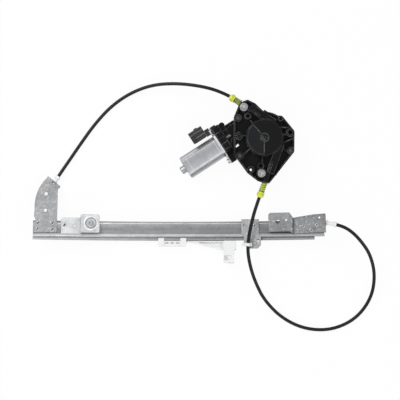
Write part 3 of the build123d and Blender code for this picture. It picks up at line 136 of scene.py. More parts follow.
class Finish:
    """One material, whose nodes come from its node method."""

    def __init__(self, name, **constants):
        self.material = bpy.data.materials.new(name)
        self.material.use_nodes = True
        self.tree = self.material.node_tree
        self.shader = self.tree.nodes["Principled BSDF"]
        sockets = {socket.name.lower(): socket for socket in self.shader.inputs}
        for words, amount in constants.items():
            self.feed(sockets[words.replace("_", " ")], amount)

    def feed(self, socket, amount):
        if isinstance(amount, Value):
            self.tree.links.new(amount.socket, socket)
        elif isinstance(amount, tuple) and len(amount) == 3 and socket.type == "RGBA":
            socket.default_value = (*amount, 1)
        else:
            socket.default_value = amount

    def node(self, kind, settings=(), output=0, **inputs):
        """A node of a kind, with its settings, then the values or links of its sockets."""
        made = self.tree.nodes.new("ShaderNode" + kind)
        for name, setting in dict(settings).items():
            if name == "stops":
                ramp = made.color_ramp
                while len(ramp.elements) < len(setting):
                    ramp.elements.new(0.5)
                for element, (place, tone) in zip(ramp.elements, setting):
                    element.position = place
                    element.color = (tone, tone, tone, 1)
            else:
                setattr(made, name, setting)
        for name, amount in inputs.items():
            if name.startswith("input_"):
                self.feed(made.inputs[int(name[6:])], amount)
            else:
                self.feed(made.inputs[name.replace("_", " ")], amount)
        return Value(self, made.outputs[output])

    def number(self, operation, first, second=0.0):
        return self.node("Math", {"operation": operation}, input_0=first, input_1=second)

    def vector(self, operation, first, second=(0, 0, 0), output=0):
        return self.node(
            "VectorMath", {"operation": operation}, output, input_0=first, input_1=second
        )

    def blend(self, share, first, second):
        """A colour between two others."""
        return self.node(
            "Mix", {"data_type": "RGBA"}, output=2, input_0=share, input_6=first, input_7=second
        )

    def ground(self, turn=0.0, stretch=(1, 1, 1)):
        """Object coordinates in metres, turned in plan and stretched."""
        place = self.node("TexCoord", output="Object")
        turned = self.node("VectorRotate", {"rotation_type": "Z_AXIS"}, Vector=place, Angle=-turn)
        return self.vector("MULTIPLY", turned, stretch)

    def part_of(self, place, axis):
        """One of a place's coordinates, in millimetres."""
        return self.node("SeparateXYZ", output=axis, Vector=place) * mm_per_metre

    def noise(self, place, scale, detail=3.0, roughness=0.55):
        return self.node("TexNoise", Vector=place, Scale=scale, Detail=detail, Roughness=roughness)

    def cells(self, place, scale):
        return self.node("TexVoronoi", output="Color", Vector=place, Scale=scale)

    def steps(self, amount, stops):
        return self.node("ValToRGB", {"stops": stops}, Fac=amount)

    def between(self, amount, low, high, soft):
        """One where an amount lies between two limits, with soft edges."""
        over = self.node("MapRange", Value=amount, From_Min=low - soft, From_Max=low + soft)
        under = self.node("MapRange", Value=amount, From_Min=high + soft, From_Max=high - soft)
        return over * under

    def rounded(self, radius):
        """A normal that rounds sharp edges off."""
        return self.node("Bevel", {"samples": 6}, Radius=radius)

    def edges(self, radius):
        """One along sharp edges, out to this radius, and none on open faces."""
        flat = self.node("NewGeometry", output="True Normal")
        along = self.vector("DOT_PRODUCT", flat, self.rounded(radius), output="Value")
        return self.steps(1 - along, ((0.015, 0.0), (0.12, 1.0)))

    def recess_shade(self, reach):
        """A mask for painted shade: one in holes and corners, and none in the open."""
        open_share = self.node(
            "AmbientOcclusion", {"samples": 6, "only_local": True}, "AO", Distance=reach
        )
        return self.steps(1 - open_share, ((0.25, 0.0), (0.85, 1.0)))

    def surface(self, colour, roughness, height, depth, edge=0.0004):
        """The material, with a relief of this depth and edges rounded by this radius, in metres."""
        self.feed(self.shader.inputs["Base Color"], colour)
        self.feed(self.shader.inputs["Roughness"], roughness)
        normal = self.node(
            "Bump", Strength=1.0, Distance=depth, Height=height, Normal=self.rounded(edge)
        )
        self.feed(self.shader.inputs["Normal"], normal)
        return self.material


# Finishes of the metals. The bands give tones across the rail and across the can: painted
# highlights and painted shade on their bends and curves. Place in millimetres, then tone.
rail_light_bands = (
    (-166.0, 0.30), (-164.0, 0.36), (-160.2, 0.46), (-159.2, 0.30), (-158.2, 0.33), (-157.0, 0.54),
    (-155.0, 0.53), (-153.4, 0.38), (-151.8, 0.28), (-146.0, 0.25), (-140.5, 0.31), (-138.0, 0.36),
    (-137.2, 0.46), (-136.3, 0.64), (-135.5, 0.34), (-134.6, 0.14), (-133.0, 0.17), (-132.0, 0.24),
)
can_light_bands = (
    (8, 0.50), (10, 0.48), (12, 0.33), (14, 0.38), (16, 0.72), (18, 0.56), (20, 0.46), (25, 0.40),
    (31, 0.35), (36, 0.38), (40, 0.42), (42, 0.56), (44, 0.58), (46, 0.14), (48, 0.30),
)


def banded(finish, amount, bands):
    """Painted highlights and shade in bands: a tone that changes across a sheet, between places in
    millimetres.
    """
    low, high = bands[0][0], bands[-1][0]
    share = finish.node("MapRange", Value=amount, From_Min=low, From_Max=high)
    return finish.steps(share, [((place - low) / (high - low), tone) for place, tone in bands])


def rolled_rail():
    """The rail's sheet: streaks along it, painted highlights and shade in bands across it, and
    painted shade on its edges and towards its right end.
    """
    finish = Finish("rolled_rail", metallic=0.85)
    place = finish.ground()
    streak = finish.noise(finish.ground(stretch=(9, 700, 60)), 1.0, 4)
    smear = finish.noise(finish.ground(stretch=(60, 190, 60)), 1.0, 4)
    cloud = finish.noise(place, 45)
    spangle = finish.node("SeparateColor", Color=finish.cells(place, 240))
    # Painted light along the rail: lighter towards its left end and darker towards its right end.
    painted_light_along_rail = finish.node(
        "MapRange", Value=finish.part_of(place, "X"), From_Min=-260.0, From_Max=0.0,
        To_Min=1.10, To_Max=0.66,
    )
    # Painted highlights and shade in bands across the rail, times the painted light along it.
    tone = banded(finish, finish.part_of(place, "Y"), rail_light_bands) * painted_light_along_rail
    tone = tone * (streak * 0.34 + smear * 0.46 + cloud * 0.20 + spangle * 0.10 + 0.45)
    colour = finish.blend(tone, (0.0, 0.0, 0.002), (0.97, 0.985, 1.0))
    # Painted shade along the rail's edges.
    colour = finish.blend(finish.edges(0.0009) * 0.5, colour, (0.07, 0.073, 0.078))
    return finish.surface(colour, cloud * 0.22 + 0.32, streak, 0.00006)


def pressed_zinc(name, dark, light, speck=0.32, ring=None):
    """Plated pressings: clouded and mottled, with small dents, and painted shade along their edges
    and in their holes.
    """
    finish = Finish(name, metallic=0.8)
    place = finish.ground()
    mottle = finish.noise(place, 360, 4, 0.75)
    cloud = finish.noise(place, 120, 5, 0.65)
    patch = finish.steps(finish.noise(place, 46, 3), ((0.36, 0.0), (0.64, 1.0)))
    dents = finish.steps(finish.noise(place, 230, 2), ((0.58, 0.0), (0.68, 1.0)))
    pits = finish.steps(finish.noise(finish.ground(1.0), 260, 2), ((0.59, 0.0), (0.69, 1.0)))
    colour = finish.blend(patch * 0.30 + cloud * 0.34 + mottle * 0.34, dark, light)
    colour = finish.blend(dents * speck, colour, tuple(min(1, part * 1.4) for part in light))
    colour = finish.blend(pits * speck, colour, tuple(part * 0.5 for part in dark))
    height = mottle + dents * 0.6
    if ring:
        # A ring coined round this place, raised on its crown, with a painted highlight on its crown
        # and painted shade in its groove
        centred = finish.vector("SUBTRACT", place, (*ring, 0))
        level = finish.vector("MULTIPLY", centred, (1, 1, 0))
        reach = finish.vector("LENGTH", level, output="Value") * mm_per_metre
        crown = finish.between(reach, 8.9, 11.0, 0.5)
        groove = finish.between(reach, 6.4, 8.2, 0.4)
        colour = finish.blend(crown * 0.85, colour, (0.93, 0.94, 0.95))
        colour = finish.blend(groove * 0.40, colour, (0.14, 0.14, 0.145))
        height = height + crown * 4.0
    # Painted shade along the edges, then in holes and corners.
    colour = finish.blend(finish.edges(0.0012) * 0.60, colour, tuple(part * 0.45 for part in dark))
    colour = finish.blend(finish.recess_shade(0.003) * 0.8, colour, (0.02, 0.02, 0.02))
    return finish.surface(colour, cloud * 0.25 + 0.32, height, 0.00016, 0.0005)


def turned_steel(name, dark, light, roughness=0.20, reach=0.002):
    """Turned and plated steel, with painted shade along its edges and, out to the given reach, in
    its holes.
    """
    finish = Finish(name, metallic=1.0)
    cloud = finish.noise(finish.ground(), 420, 4)
    colour = finish.blend(cloud, dark, light)
    # Painted shade along the edges, then in holes and corners.
    colour = finish.blend(finish.edges(0.0006) * 0.35, colour, (0.08, 0.08, 0.085))
    colour = finish.blend(finish.recess_shade(reach) * 0.85, colour, (0.015, 0.015, 0.016))
    return finish.surface(colour, cloud * 0.20 + roughness, cloud, 0.00004, 0.0003)


def can_plate():
    """The motor can: bright plating, drawn along its length, with painted highlights and shade in
    bands across it, and a line pressed round its flat.
    """
    finish = Finish("can_plate", metallic=0.9)
    place = finish.ground(motor_angle)
    streak = finish.noise(finish.ground(motor_angle, (25, 900, 900)), 1.0, 4)
    cloud = finish.noise(place, 60, 4)
    fine = finish.noise(place, 420, 3)
    along, aside = finish.part_of(place, "X"), finish.part_of(place, "Y")
    top = finish.between(finish.part_of(place, "Z"), 24.0, 40.0, 1.0)
    outer, inner = (
        finish.between(along, start, end, 0.4) * finish.between(aside, near, far, 0.4)
        for start, end, near, far in ((-123.4, -70.6, 16.0, 43.6), (-121.8, -72.2, 17.2, 42.2))
    )
    border = (outer - inner) * top
    # Painted highlights and shade in bands across the can's rounded sides.
    tone = banded(finish, aside, can_light_bands) * (streak * 0.30 + cloud * 0.40 + fine * 0.25 + 0.55)
    colour = finish.blend(tone, (0.0, 0.0, 0.004), (0.95, 0.96, 1.0))
    # The pressed line has its relief and a painted highlight; the can's edges get a painted
    # highlight, its hollows painted shade.
    colour = finish.blend(border * 0.45, colour, (0.62, 0.63, 0.66))
    colour = finish.blend(finish.edges(0.0010) * 0.35, colour, (0.70, 0.71, 0.74))
    colour = finish.blend(finish.recess_shade(0.003) * 0.7, colour, (0.05, 0.05, 0.055))
    return finish.surface(colour, cloud * 0.20 + 0.30, streak * 0.6 + border, 0.00006, 0.0008)


def stranded_wire():
    """Steel rope seen from too far to part its strands."""
    finish = Finish("stranded_wire", metallic=1.0)
    strand = finish.node(
        "TexWave", {"bands_direction": "DIAGONAL"}, Vector=finish.ground(), Scale=900.0
    )
    colour = finish.blend(strand, (0.36, 0.36, 0.36), (0.85, 0.85, 0.84))
    return finish.surface(colour, 0.35, strand, 0.0001, 0.0001)


def wound_copper():
    """Enamelled copper, with a line for each turn of wire."""
    finish = Finish("wound_copper", metallic=1.0)
    turn = finish.node("TexWave", Vector=finish.ground(motor_angle), Scale=420.0)
    colour = finish.blend(turn, (0.35, 0.13, 0.06), (0.85, 0.42, 0.24))
    return finish.surface(colour, 0.32, turn, 0.0002)


# Finishes of the plastics
def moulded(name, dark, light, roughness):
    """Moulded plastic with a fine grain, and painted shade in its holes and corners."""
    finish = Finish(name, metallic=0.0)
    place = finish.ground()
    fine = finish.noise(place, 900, 2)
    cloud = finish.noise(place, 55, 3)
    colour = finish.blend(cloud, dark, light)
    # Painted shade in holes and corners.
    shade = tuple(part * 0.45 for part in dark)
    colour = finish.blend(finish.recess_shade(0.002) * 0.6, colour, shade)
    dullness = cloud * 0.16 + fine * 0.08 + (roughness - 0.12)
    return finish.surface(colour, dullness, fine, 0.00006, 0.0005)


# The drum's round cover: its radius, the heights that take it in, and the sector of its painted
# sheen
cover_r, cover_low, cover_high = 27.6, 43.4, 50.0
sheen_middle, sheen_half = math.radians(200), math.radians(68)


def black_moulding(name, dark=0.0026, light=0.0085, edge_highlight_share=0.7, cover=False):
    """Black filled plastic: glossy in places, with painted highlights along its edges and painted
    shade in its hollows.
    """
    finish = Finish(name, metallic=0.0, specular_ior_level=0.10)
    place = finish.ground()
    fine = finish.noise(place, 900, 2)
    cloud = finish.noise(place, 70, 4)
    gloss = finish.steps(finish.noise(place, 38, 3), ((0.40, 0.0), (0.62, 1.0)))
    colour = finish.blend(cloud, (dark, dark, dark * 1.06), (light, light, light * 1.06))
    height = fine
    if cover:
        # Fine turned rings on the cover, and a painted sheen in a paler sector between its two long
        # ribs
        flat = finish.ground(sheen_middle, (1, 1, 0))
        reach = finish.vector("LENGTH", flat, output="Value") * mm_per_metre
        heading = finish.number("ARCTAN2", finish.part_of(flat, "Y"), finish.part_of(flat, "X"))
        disc = finish.between(reach, -5.0, cover_r, 0.3)
        disc = disc * finish.between(finish.part_of(place, "Z"), cover_low, cover_high, 0.1)
        sheen_sector = finish.between(heading, -sheen_half, sheen_half, 0.02) * disc
        rings = finish.number("SINE", reach * 5.2) * disc
        sheen = finish.noise(finish.node("CombineXYZ", X=heading * 9.0, Y=reach * 0.02), 1.0, 3)
        colour = finish.blend(sheen_sector * (sheen * 0.9 + 0.30), colour, (0.0150, 0.0160, 0.0172))
        # A painted highlight along the cover's rim, within the sheen's sector.
        rim = finish.between(reach, cover_r - 1.4, cover_r - 0.2, 0.2) * sheen_sector
        colour = finish.blend(rim * 0.6, colour, (0.05, 0.05, 0.052))
        height = fine + rings * 0.4
    # Painted highlights along the edges, broken up by the cloud.
    edge_highlight = finish.edges(0.0011) * finish.steps(cloud, ((0.40, 0.20), (0.58, 1.0)))
    colour = finish.blend(edge_highlight * edge_highlight_share, colour, (0.38, 0.382, 0.39))
    # Painted shade in holes and corners.
    colour = finish.blend(finish.recess_shade(0.004) * 0.8, colour, (0.0012, 0.0012, 0.0013))
    return finish.surface(colour, 0.46 - gloss * 0.20 + fine * 0.06, height, 0.00005, 0.0005)


def sheath():
    """Extruded conduit: plain black, with a soft line of gloss."""
    finish = Finish("conduit_sheath", metallic=0.0, specular_ior_level=0.22)
    place = finish.ground()
    fine = finish.noise(place, 500, 3)
    cloud = finish.noise(place, 60, 2)
    colour = finish.blend(cloud, (0.003, 0.003, 0.003), (0.008, 0.008, 0.008))
    return finish.surface(colour, cloud * 0.14 + 0.26, fine, 0.00005, 0.0002)


spring_steel = turned_steel("spring_steel", (0.045, 0.048, 0.030), (0.16, 0.165, 0.12), 0.30)
dark_screw = turned_steel("dark_screw", (0.008, 0.008, 0.009), (0.055, 0.055, 0.058))
grey_screw = turned_steel("grey_screw", (0.030, 0.030, 0.032), (0.16, 0.16, 0.165), 0.25)
# The rivets' longer reach lets painted shade go deeper into their holes.
rivet_steel = turned_steel("rivet_steel", (0.22, 0.225, 0.23), (0.66, 0.67, 0.68), 0.25, 0.006)
rolled_rim = turned_steel("rolled_rim", (0.34, 0.345, 0.35), (0.78, 0.79, 0.81), 0.32)
breather_foil = moulded("breather_foil", (0.13, 0.13, 0.135), (0.26, 0.26, 0.265), 0.5)
# Middle of the ring coined into the left mount bracket, in metres
coined_ring = (-0.2765, -0.1359)
finishes = {
    "galvanised_steel": rolled_rail(),
    "zinc_plate": pressed_zinc("pressed_zinc", (0.17, 0.174, 0.18), (0.50, 0.51, 0.52)),
    "bright_steel": turned_steel("bright_steel", (0.26, 0.265, 0.27), (0.66, 0.67, 0.68)),
    "white_plastic": moulded("white_acetal", (0.82, 0.825, 0.83), (0.93, 0.935, 0.94), 0.45),
    "black_plastic": black_moulding("black_moulding"),
    "black_conduit": sheath(),
    "can_steel": can_plate(),
    "lime_plastic": moulded("lime_cap", (0.70, 0.80, 0.06), (0.86, 0.93, 0.13), 0.38),
    "olive_plastic": moulded("olive_sleeve", (0.50, 0.60, 0.07), (0.68, 0.78, 0.12), 0.40),
    "grey_rubber": moulded("dark_rubber", (0.030, 0.030, 0.030), (0.060, 0.060, 0.060), 0.7),
    "drum_plastic": moulded("drum_acetal", (0.60, 0.59, 0.54), (0.74, 0.73, 0.68), 0.4),
    "copper": wound_copper(),
    "ferrite": moulded("ferrite", (0.05, 0.05, 0.05), (0.10, 0.10, 0.10), 0.6),
    "wire_rope": stranded_wire(),
    "card_plastic": moulded("brush_card", (0.20, 0.13, 0.07), (0.32, 0.22, 0.12), 0.6),
}
own_finishes = {
    "drum_housing": black_moulding("black_cover", cover=True),
    # The connector's edges get a stronger painted highlight.
    "connector_socket": black_moulding("black_connector", 0.022, 0.058, 0.9),
    "housing_screws": grey_screw,
    "mount_bush": dark_screw,
    "clamp_screw": turned_steel("pale_screw", (0.50, 0.50, 0.50), (0.80, 0.80, 0.80), 0.35),
    "left_mount_bracket": pressed_zinc(
        "bright_zinc", (0.36, 0.365, 0.37), (0.84, 0.85, 0.86), 0.18, coined_ring
    ),
    "right_end_bracket": pressed_zinc("dull_zinc", (0.10, 0.102, 0.106), (0.32, 0.325, 0.33), 0.55),
}


def dress_solids():
    """Every CAD solid gets its finish in its own material slot."""
    for part in frame["record"]["subparts"]:
        solid = nodes[part["node"]]
        finish = own_finishes.get(part["node"], finishes[part["material_slot"]])
        if not solid.data.materials:
            solid.data.materials.append(None)
        for index in range(len(solid.data.materials)):
            solid.data.materials[index] = finish


# Making pieces: shapes are drawn in millimetres, then set in place in metres
smooth_angle = math.radians(35)


def finish_piece(name, shape, slot, material=None, stands_for=()):
    """The shape becomes a piece on the frame, in place of the CAD solids it stands for."""
    bmesh.ops.remove_doubles(shape, verts=shape.verts, dist=0.0005)
    bmesh.ops.recalc_face_normals(shape, faces=shape.faces)
    bmesh.ops.scale(shape, vec=(mm, mm, mm), verts=shape.verts)
    data = bpy.data.meshes.new(name)
    shape.to_mesh(data)
    shape.free()
    data.shade_smooth()
    data.set_sharp_from_angle(angle=smooth_angle)
    data.materials.append(material or finishes[slot])
    piece = bpy.data.objects.new(name, data)
    bpy.context.scene.collection.objects.link(piece)
    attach(piece, "frame")
    if stands_for:
        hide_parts(*stands_for)


def turn_profile(shape, profile, place, steps=48):
    """A closed turned shape, whose profile is given as (radius, height)."""
    before = set(shape.verts)
    verts = [shape.verts.new((radius, 0, height)) for radius, height in profile]
    lines = [shape.edges.new(pair) for pair in zip(verts, verts[1:])]
    bmesh.ops.spin(
        shape, geom=verts + lines, cent=(0, 0, 0), axis=(0, 0, 1), angle=2 * math.pi,
        steps=steps, use_merge=True,
    )
    made = [vert for vert in shape.verts if vert not in before]
    bmesh.ops.transform(shape, matrix=place, verts=made)


def wind(shape, profile, pitch, turns, place):
    """A closed bar wound round Z: its profile is a small polygon given as (radius, height)."""
    before = set(shape.verts)
    steps_a_turn = 24
    verts = [shape.verts.new((radius, 0, height)) for radius, height in profile]
    face = shape.faces.new(verts)
    bmesh.ops.spin(
        shape, geom=verts + list(face.edges) + [face], cent=(0, 0, 0), axis=(0, 0, 1),
        dvec=(0, 0, pitch / steps_a_turn), angle=2 * math.pi * turns,
        steps=int(steps_a_turn * turns), use_merge=False,
    )
    made = [vert for vert in shape.verts if vert not in before]
    bmesh.ops.transform(shape, matrix=place, verts=made)


def at(point, height=0.0):
    """A place by its point in plan and its height."""
    return Matrix.Translation((point[0], point[1], height))


# Threads of the studs, in millimetres
thread_pitch, thread_depth = 1.0, 0.55


def thread(shape, place, low, high):
    """The thread of a stud's rod, with its turns' feet inside the rod's core."""
    root, inside = stud_r - thread_depth, stud_r - 0.85
    profile = [
        (stud_r, 0.45), (stud_r, 0.55), (root, 0.98), (inside, 0.98), (inside, 0.02), (root, 0.02),
    ]
    turns = (high - low) / thread_pitch - 1
    wind(shape, profile, thread_pitch, turns, place @ Matrix.Translation((0, 0, low)))


def cut_studs():
    """The drive's two fixing studs: washer face with a coined ring, thread and pilot tip."""
    shape = bmesh.new()
    core, tip = stud_r - thread_depth, stud_r - 0.8
    rim, top = stud_flange_r, stud_seat + stud_flange
    for point in stud_points:
        turn_profile(shape, [
            (0, stud_root), (stud_r - 0.1, stud_root), (stud_r - 0.1, stud_seat),
            (rim - 0.3, stud_seat), (rim, stud_seat + 0.3), (rim, top - 0.6), (rim - 0.5, top),
            (rim - 1.3, top), (rim - 1.6, top - 0.35), (rim - 2.0, top - 0.35), (rim - 2.3, top),
            (3.5, top), (stud_r, top + 0.5), (stud_r, top + 1.4), (core, top + 1.7),
            (core, stud_top - 3.4), (tip, stud_top - 3.0), (tip, stud_top - 0.6),
            (tip - 0.7, stud_top), (0, stud_top),
        ], at(point))
        thread(shape, at(point), top + 1.2, stud_top - 3.0)
    finish_piece("fixing_studs_cut", shape, "bright_steel", stands_for=["fixing_studs"])


def cut_screws():
    """The screws that hold the drum housing: washer, pan head and a deep socket."""
    shape = bmesh.new()
    washer_r, head_r, socket_r, tip = screw_head_r, 3.1, 1.7, screw_low - screw_seat
    for point in screw_points:
        turn_profile(shape, [
            (0, tip), (screw_r, tip), (screw_r, 0), (washer_r, 0), (washer_r, 0.5),
            (washer_r - 0.3, 0.75), (head_r, 0.85), (head_r, 1.7), (head_r - 0.5, screw_head),
            (socket_r + 0.2, screw_head), (socket_r, screw_head - 0.2), (socket_r, 0.6), (0, 0.4),
        ], at(point, screw_seat))
    finish_piece(
        "housing_screws_cut", shape, "bright_steel", grey_screw, stands_for=["housing_screws"]
    )


def leaning(along, height):
    """The rail's own directions at a distance from its middle, raised from its web."""
    turn = along / rail_bow_radius
    up = Vector((0, math.sin(rail_lean), math.cos(rail_lean)))
    across = Vector((0, math.cos(rail_lean), -math.sin(rail_lean)))
    normal = up * math.cos(turn) - Vector((math.sin(turn), 0, 0))
    tangent = up * math.sin(turn) + Vector((math.cos(turn), 0, 0))
    place = Matrix((tangent, across, normal)).transposed().to_4x4()
    place.translation = rail_centre + up * rail_bow_radius - normal * (rail_bow_radius - height)
    return place


def plate_top(length):
    """Height of a flat plate's top over the bowed web, for the plate's length."""
    return length**2 / (8 * rail_bow_radius) + plate_gap + sheet


# Riveted plates: distance along the rail, height of the plate's top, rivets on it
plates = [
    (-213, plate_top(38), [(-12.2, 10.2), (-13.0, 0.2), (10.4, 10.2), (10.4, -0.2)]),
    (mount_along, plate_top(33), [(-11.2, 7.6)]),
    (114.5, plate_top(30), [(-10.7, 8.0), (7.7, 7.8)]),
    (209.3, plate_top(52), [(-9.7, 4.9), (12.1, 6.8), (3.2, -1.1)]),
]


def roll_rivets():
    """Tubular rivets, their ends rolled over into a smooth ring round a deep hole."""
    shape = bmesh.new()
    head_r, hole_r, hole_low = rivet_head_r, rivet_hollow_r + 0.3, -1.45
    for along, top, points in plates:
        low = web_bottom + plate_gap - top
        for point in points:
            turn_profile(shape, [
                (0, low), (rivet_r, low), (rivet_r, 0), (head_r - 0.2, 0), (head_r, 0.2),
                (head_r - 0.15, 0.5), (head_r - 0.6, 0.75), (hole_r + 0.5, 0.8),
                (hole_r + 0.15, 0.6), (hole_r, 0.2), (hole_r, hole_low), (0, hole_low),
            ], leaning(along, top) @ at(point), 32)
    finish_piece(
        "bracket_rivets_rolled", shape, "bright_steel", rivet_steel, stands_for=["bracket_rivets"]
    )


def leaving_drum(angle, distance):
    """The place of a cable that leaves the drum, with Z along the cable."""
    turn = math.radians(angle)
    aside = turn - math.pi / 2 if angle < 180 else turn + math.pi / 2
    start = Vector((math.cos(aside), math.sin(aside), 0)) * drum_pitch_r
    along, up = Vector((math.cos(turn), math.sin(turn), 0)), Vector((0, 0, 1))
    place = Matrix((up, along.cross(up), along)).transposed().to_4x4()
    place.translation = start + along * distance + up * wire_exit_z
    return place


def adjuster_fittings():
    """Round-wire springs with closed ends, and caps with a grip and a mouth for the conduit."""
    springs, caps = bmesh.new(), bmesh.new()
    wire = 0.38
    corners = [math.radians(turn) for turn in range(0, 360, 45)]
    section = [(spring_r + wire * math.cos(turn), wire * math.sin(turn)) for turn in corners]
    closed = 2 * wire + 0.04
    mouth = conduit_width / 2
    valley, crest, grip_start, grip_step = cap_r - 0.32, cap_r - 0.02, 1.4, 0.62
    for angle, start, end in adjusters:
        place = leaving_drum(angle, start + 0.25 + wire)
        run = end - start - cap_length - 0.9 - 2 * wire - 2 * closed
        wind(springs, section, closed, 1, place)
        wind(springs, section, run / 4, 4, place @ Matrix.Translation((0, 0, closed)))
        wind(springs, section, closed, 1, place @ Matrix.Translation((0, 0, closed + run)))
        grip = []
        for step in range(6):
            low = grip_start + step * grip_step
            grip += [(valley, low), (crest, low + 0.16), (crest, low + 0.36), (valley, low + 0.5)]
        turn_profile(caps, [
            (wire_hole_r, 2.2), (sleeve_r + 0.1, 2.2), (sleeve_r + 0.1, 0), (cap_r - 0.5, 0),
            (cap_r, 0.4), (cap_r, 1.1), *grip, (valley, 5.3), (cap_r, 5.6), (cap_r, 6.3),
            (cap_r - 0.6, cap_length), (mouth + 1.2, cap_length), (mouth + 0.8, cap_length + 1.5),
            (mouth + 0.2, cap_length + 1.7), (mouth, cap_length), (wire_hole_r, cap_length),
            (wire_hole_r, 2.2),
        ], leaving_drum(angle, end - cap_length), 56)
    finish_piece(
        "adjuster_springs_wound", springs, "bright_steel", spring_steel,
        stands_for=["adjuster_springs"],
    )
    finish_piece("adjuster_caps_ribbed", caps, "lime_plastic", stands_for=["adjuster_caps"])


def drive_place(along, aside, height):
    """A place by its distance along the motor, beside it and above the table."""
    return Matrix.Rotation(motor_angle, 4, "Z") @ Matrix.Translation((along, aside, height))


# Tops of the gear housing's body and of its worm tunnel
body_top, tunnel_top = 24.9, 30.6


def small_block(shape, size, place, edge):
    """A block with rounded edges, about its middle."""
    made = bmesh.ops.create_cube(shape, size=1.0)
    bmesh.ops.scale(shape, vec=size, verts=made["verts"])
    bmesh.ops.transform(shape, matrix=place, verts=made["verts"])
    lines = {line for vert in made["verts"] for line in vert.link_edges}
    bmesh.ops.bevel(
        shape, geom=list(lines), offset=edge, affect="EDGES", segments=3, profile=0.5, material=-1,
    )


def breather():
    """The patch that lets the gear housing breathe, on its body beside the worm tunnel."""
    shape = bmesh.new()
    small_block(shape, (7.4, 3.6, 0.5), drive_place(-46.2, 33.2, body_top + 0.2), 0.2)
    finish_piece("breather_patch", shape, "white_plastic", breather_foil)


def prism(shape, outline, low, high):
    """A moulded block with this outline in plan, its edges a little rounded."""
    verts = [shape.verts.new((*point, low)) for point in outline]
    face = shape.faces.new(verts)
    raised = bmesh.ops.extrude_face_region(shape, geom=[face])["geom"]
    made = [part for part in raised if isinstance(part, bmesh.types.BMVert)]
    bmesh.ops.translate(shape, verts=made, vec=(0, 0, high - low))
    lines = {line for vert in verts + made for line in vert.link_edges}
    faces = {face for line in lines for face in line.link_faces}
    bmesh.ops.recalc_face_normals(shape, faces=list(faces))
    bmesh.ops.bevel(
        shape, geom=list(lines), offset=0.5, affect="EDGES", segments=2, profile=0.5, material=-1,
    )


def rib(shape, start, end, low, high, width):
    """A straight rib between two places in plan."""
    run = Vector(end) - Vector(start)
    middle = (Vector(end) + Vector(start)) / 2
    place = Matrix.Translation((*middle, (low + high) / 2))
    place = place @ Matrix.Rotation(math.atan2(run.y, run.x), 4, "Z")
    small_block(shape, (run.length, width, high - low), place, 0.25)


# Ribs on the gear housing's two webs, its worm tunnel and its body, drawn along the motor: bottom,
# top and width, then the ends of each in plan
left_web_top, right_web_top = 22.5, 20.4
housing_ribs = (
    (left_web_top - 0.5, left_web_top + 1.9, 1.2, [
        ((-43.5, 50.4), (-26.2, 50.4)), ((-40.0, 46.0), (-27.6, 46.0)),
        ((-34.0, 41.0), (-34.0, 50.0)),
    ]),
    (right_web_top - 0.4, right_web_top + 1.6, 1.2, [
        ((-56.0, 9.5), (-47.6, 9.5)), ((-52.0, 4.6), (-52.0, 14.6)),
    ]),
    (tunnel_top - 0.3, tunnel_top + 0.6, 0.9, [
        ((along, 15.5), (along, 56.0)) for along in (-62.4, -51.2)
    ]),
    (tunnel_top - 0.3, tunnel_top + 0.4, 0.8, [
        ((-62.0, aside), (-51.6, aside)) for aside in (18.0, 27.6, 37.2, 46.8)
    ]),
    (body_top - 0.3, body_top + 1.1, 0.9, [
        ((-49.0, 21.0), (-43.0, 27.5)), ((-49.0, 44.5), (-38.0, 44.5)),
        ((-43.5, 37.0), (-43.5, 50.5)),
    ]),
)


def housing_webs():
    """Ribbed webs and fine ribs of the gear housing, drawn along the motor and then turned."""
    shape = bmesh.new()
    left_web = [(-44.0, 51.0), (-25.5, 51.0), (-29.0, 41.0), (-38.0, 40.0)]
    right_web = [(-56.5, 15.0), (-45.0, 15.5), (-49.5, 4.0), (-56.5, 3.5)]
    prism(shape, left_web, 9.0, left_web_top)
    prism(shape, right_web, 6.0, right_web_top)
    for low, high, width, lines in housing_ribs:
        for start, end in lines:
            rib(shape, start, end, low, high, width)
    turned = Matrix.Rotation(motor_angle, 3, "Z")
    bmesh.ops.rotate(shape, verts=shape.verts, cent=(0, 0, 0), matrix=turned)
    finish_piece("gear_housing_webs", shape, "black_plastic")


def can_flange_rim():
    """The rolled rim behind the motor's flange, with the pressed ear beside it."""
    shape = bmesh.new()
    for size, place in (
        ((4.0, 31.0, 1.7), (-65.8, 30.0, 30.3)), ((2.6, 5.6, 1.6), (-67.3, 54.4, 29.9)),
        ((2.2, 1.6, 22.0), (-67.1, 7.0, 15.5)), ((2.2, 1.6, 14.0), (-67.1, 48.4, 12.0)),
    ):
        small_block(shape, size, drive_place(*place), 0.5)
    finish_piece("can_flange_rim", shape, "can_steel", rolled_rim)


def cut_rail_stud():
    """The rail's own stud: head below its pad, washer face above it, thread and pilot tip."""
    shape = bmesh.new()
    base, pad, top = mount_pad_low, mount_pad_top, mount_pad_low + rail_stud_length
    head_r, washer_r, core = 5.5, 4.8, stud_r - thread_depth
    place = leaning(mount_along, 0) @ at(mount_stud)
    turn_profile(shape, [
        (0, base - 2), (head_r - 0.4, base - 2), (head_r, base - 1.6), (head_r, base),
        (stud_r, base), (stud_r, pad), (washer_r - 0.2, pad), (washer_r, pad + 0.2),
        (washer_r, pad + 0.9), (washer_r - 0.3, pad + 1.2), (3.5, pad + 1.2),
        (stud_r, pad + 1.6), (core, pad + 2.2), (core, top - 3.0), (core - 0.25, top - 2.7),
        (core - 0.25, top - 0.6), (core - 0.9, top), (0, top),
    ], place)
    thread(shape, place, pad + 1.6, top - 2.6)
    finish_piece("rail_stud_cut", shape, "bright_steel", stands_for=["rail_stud"])


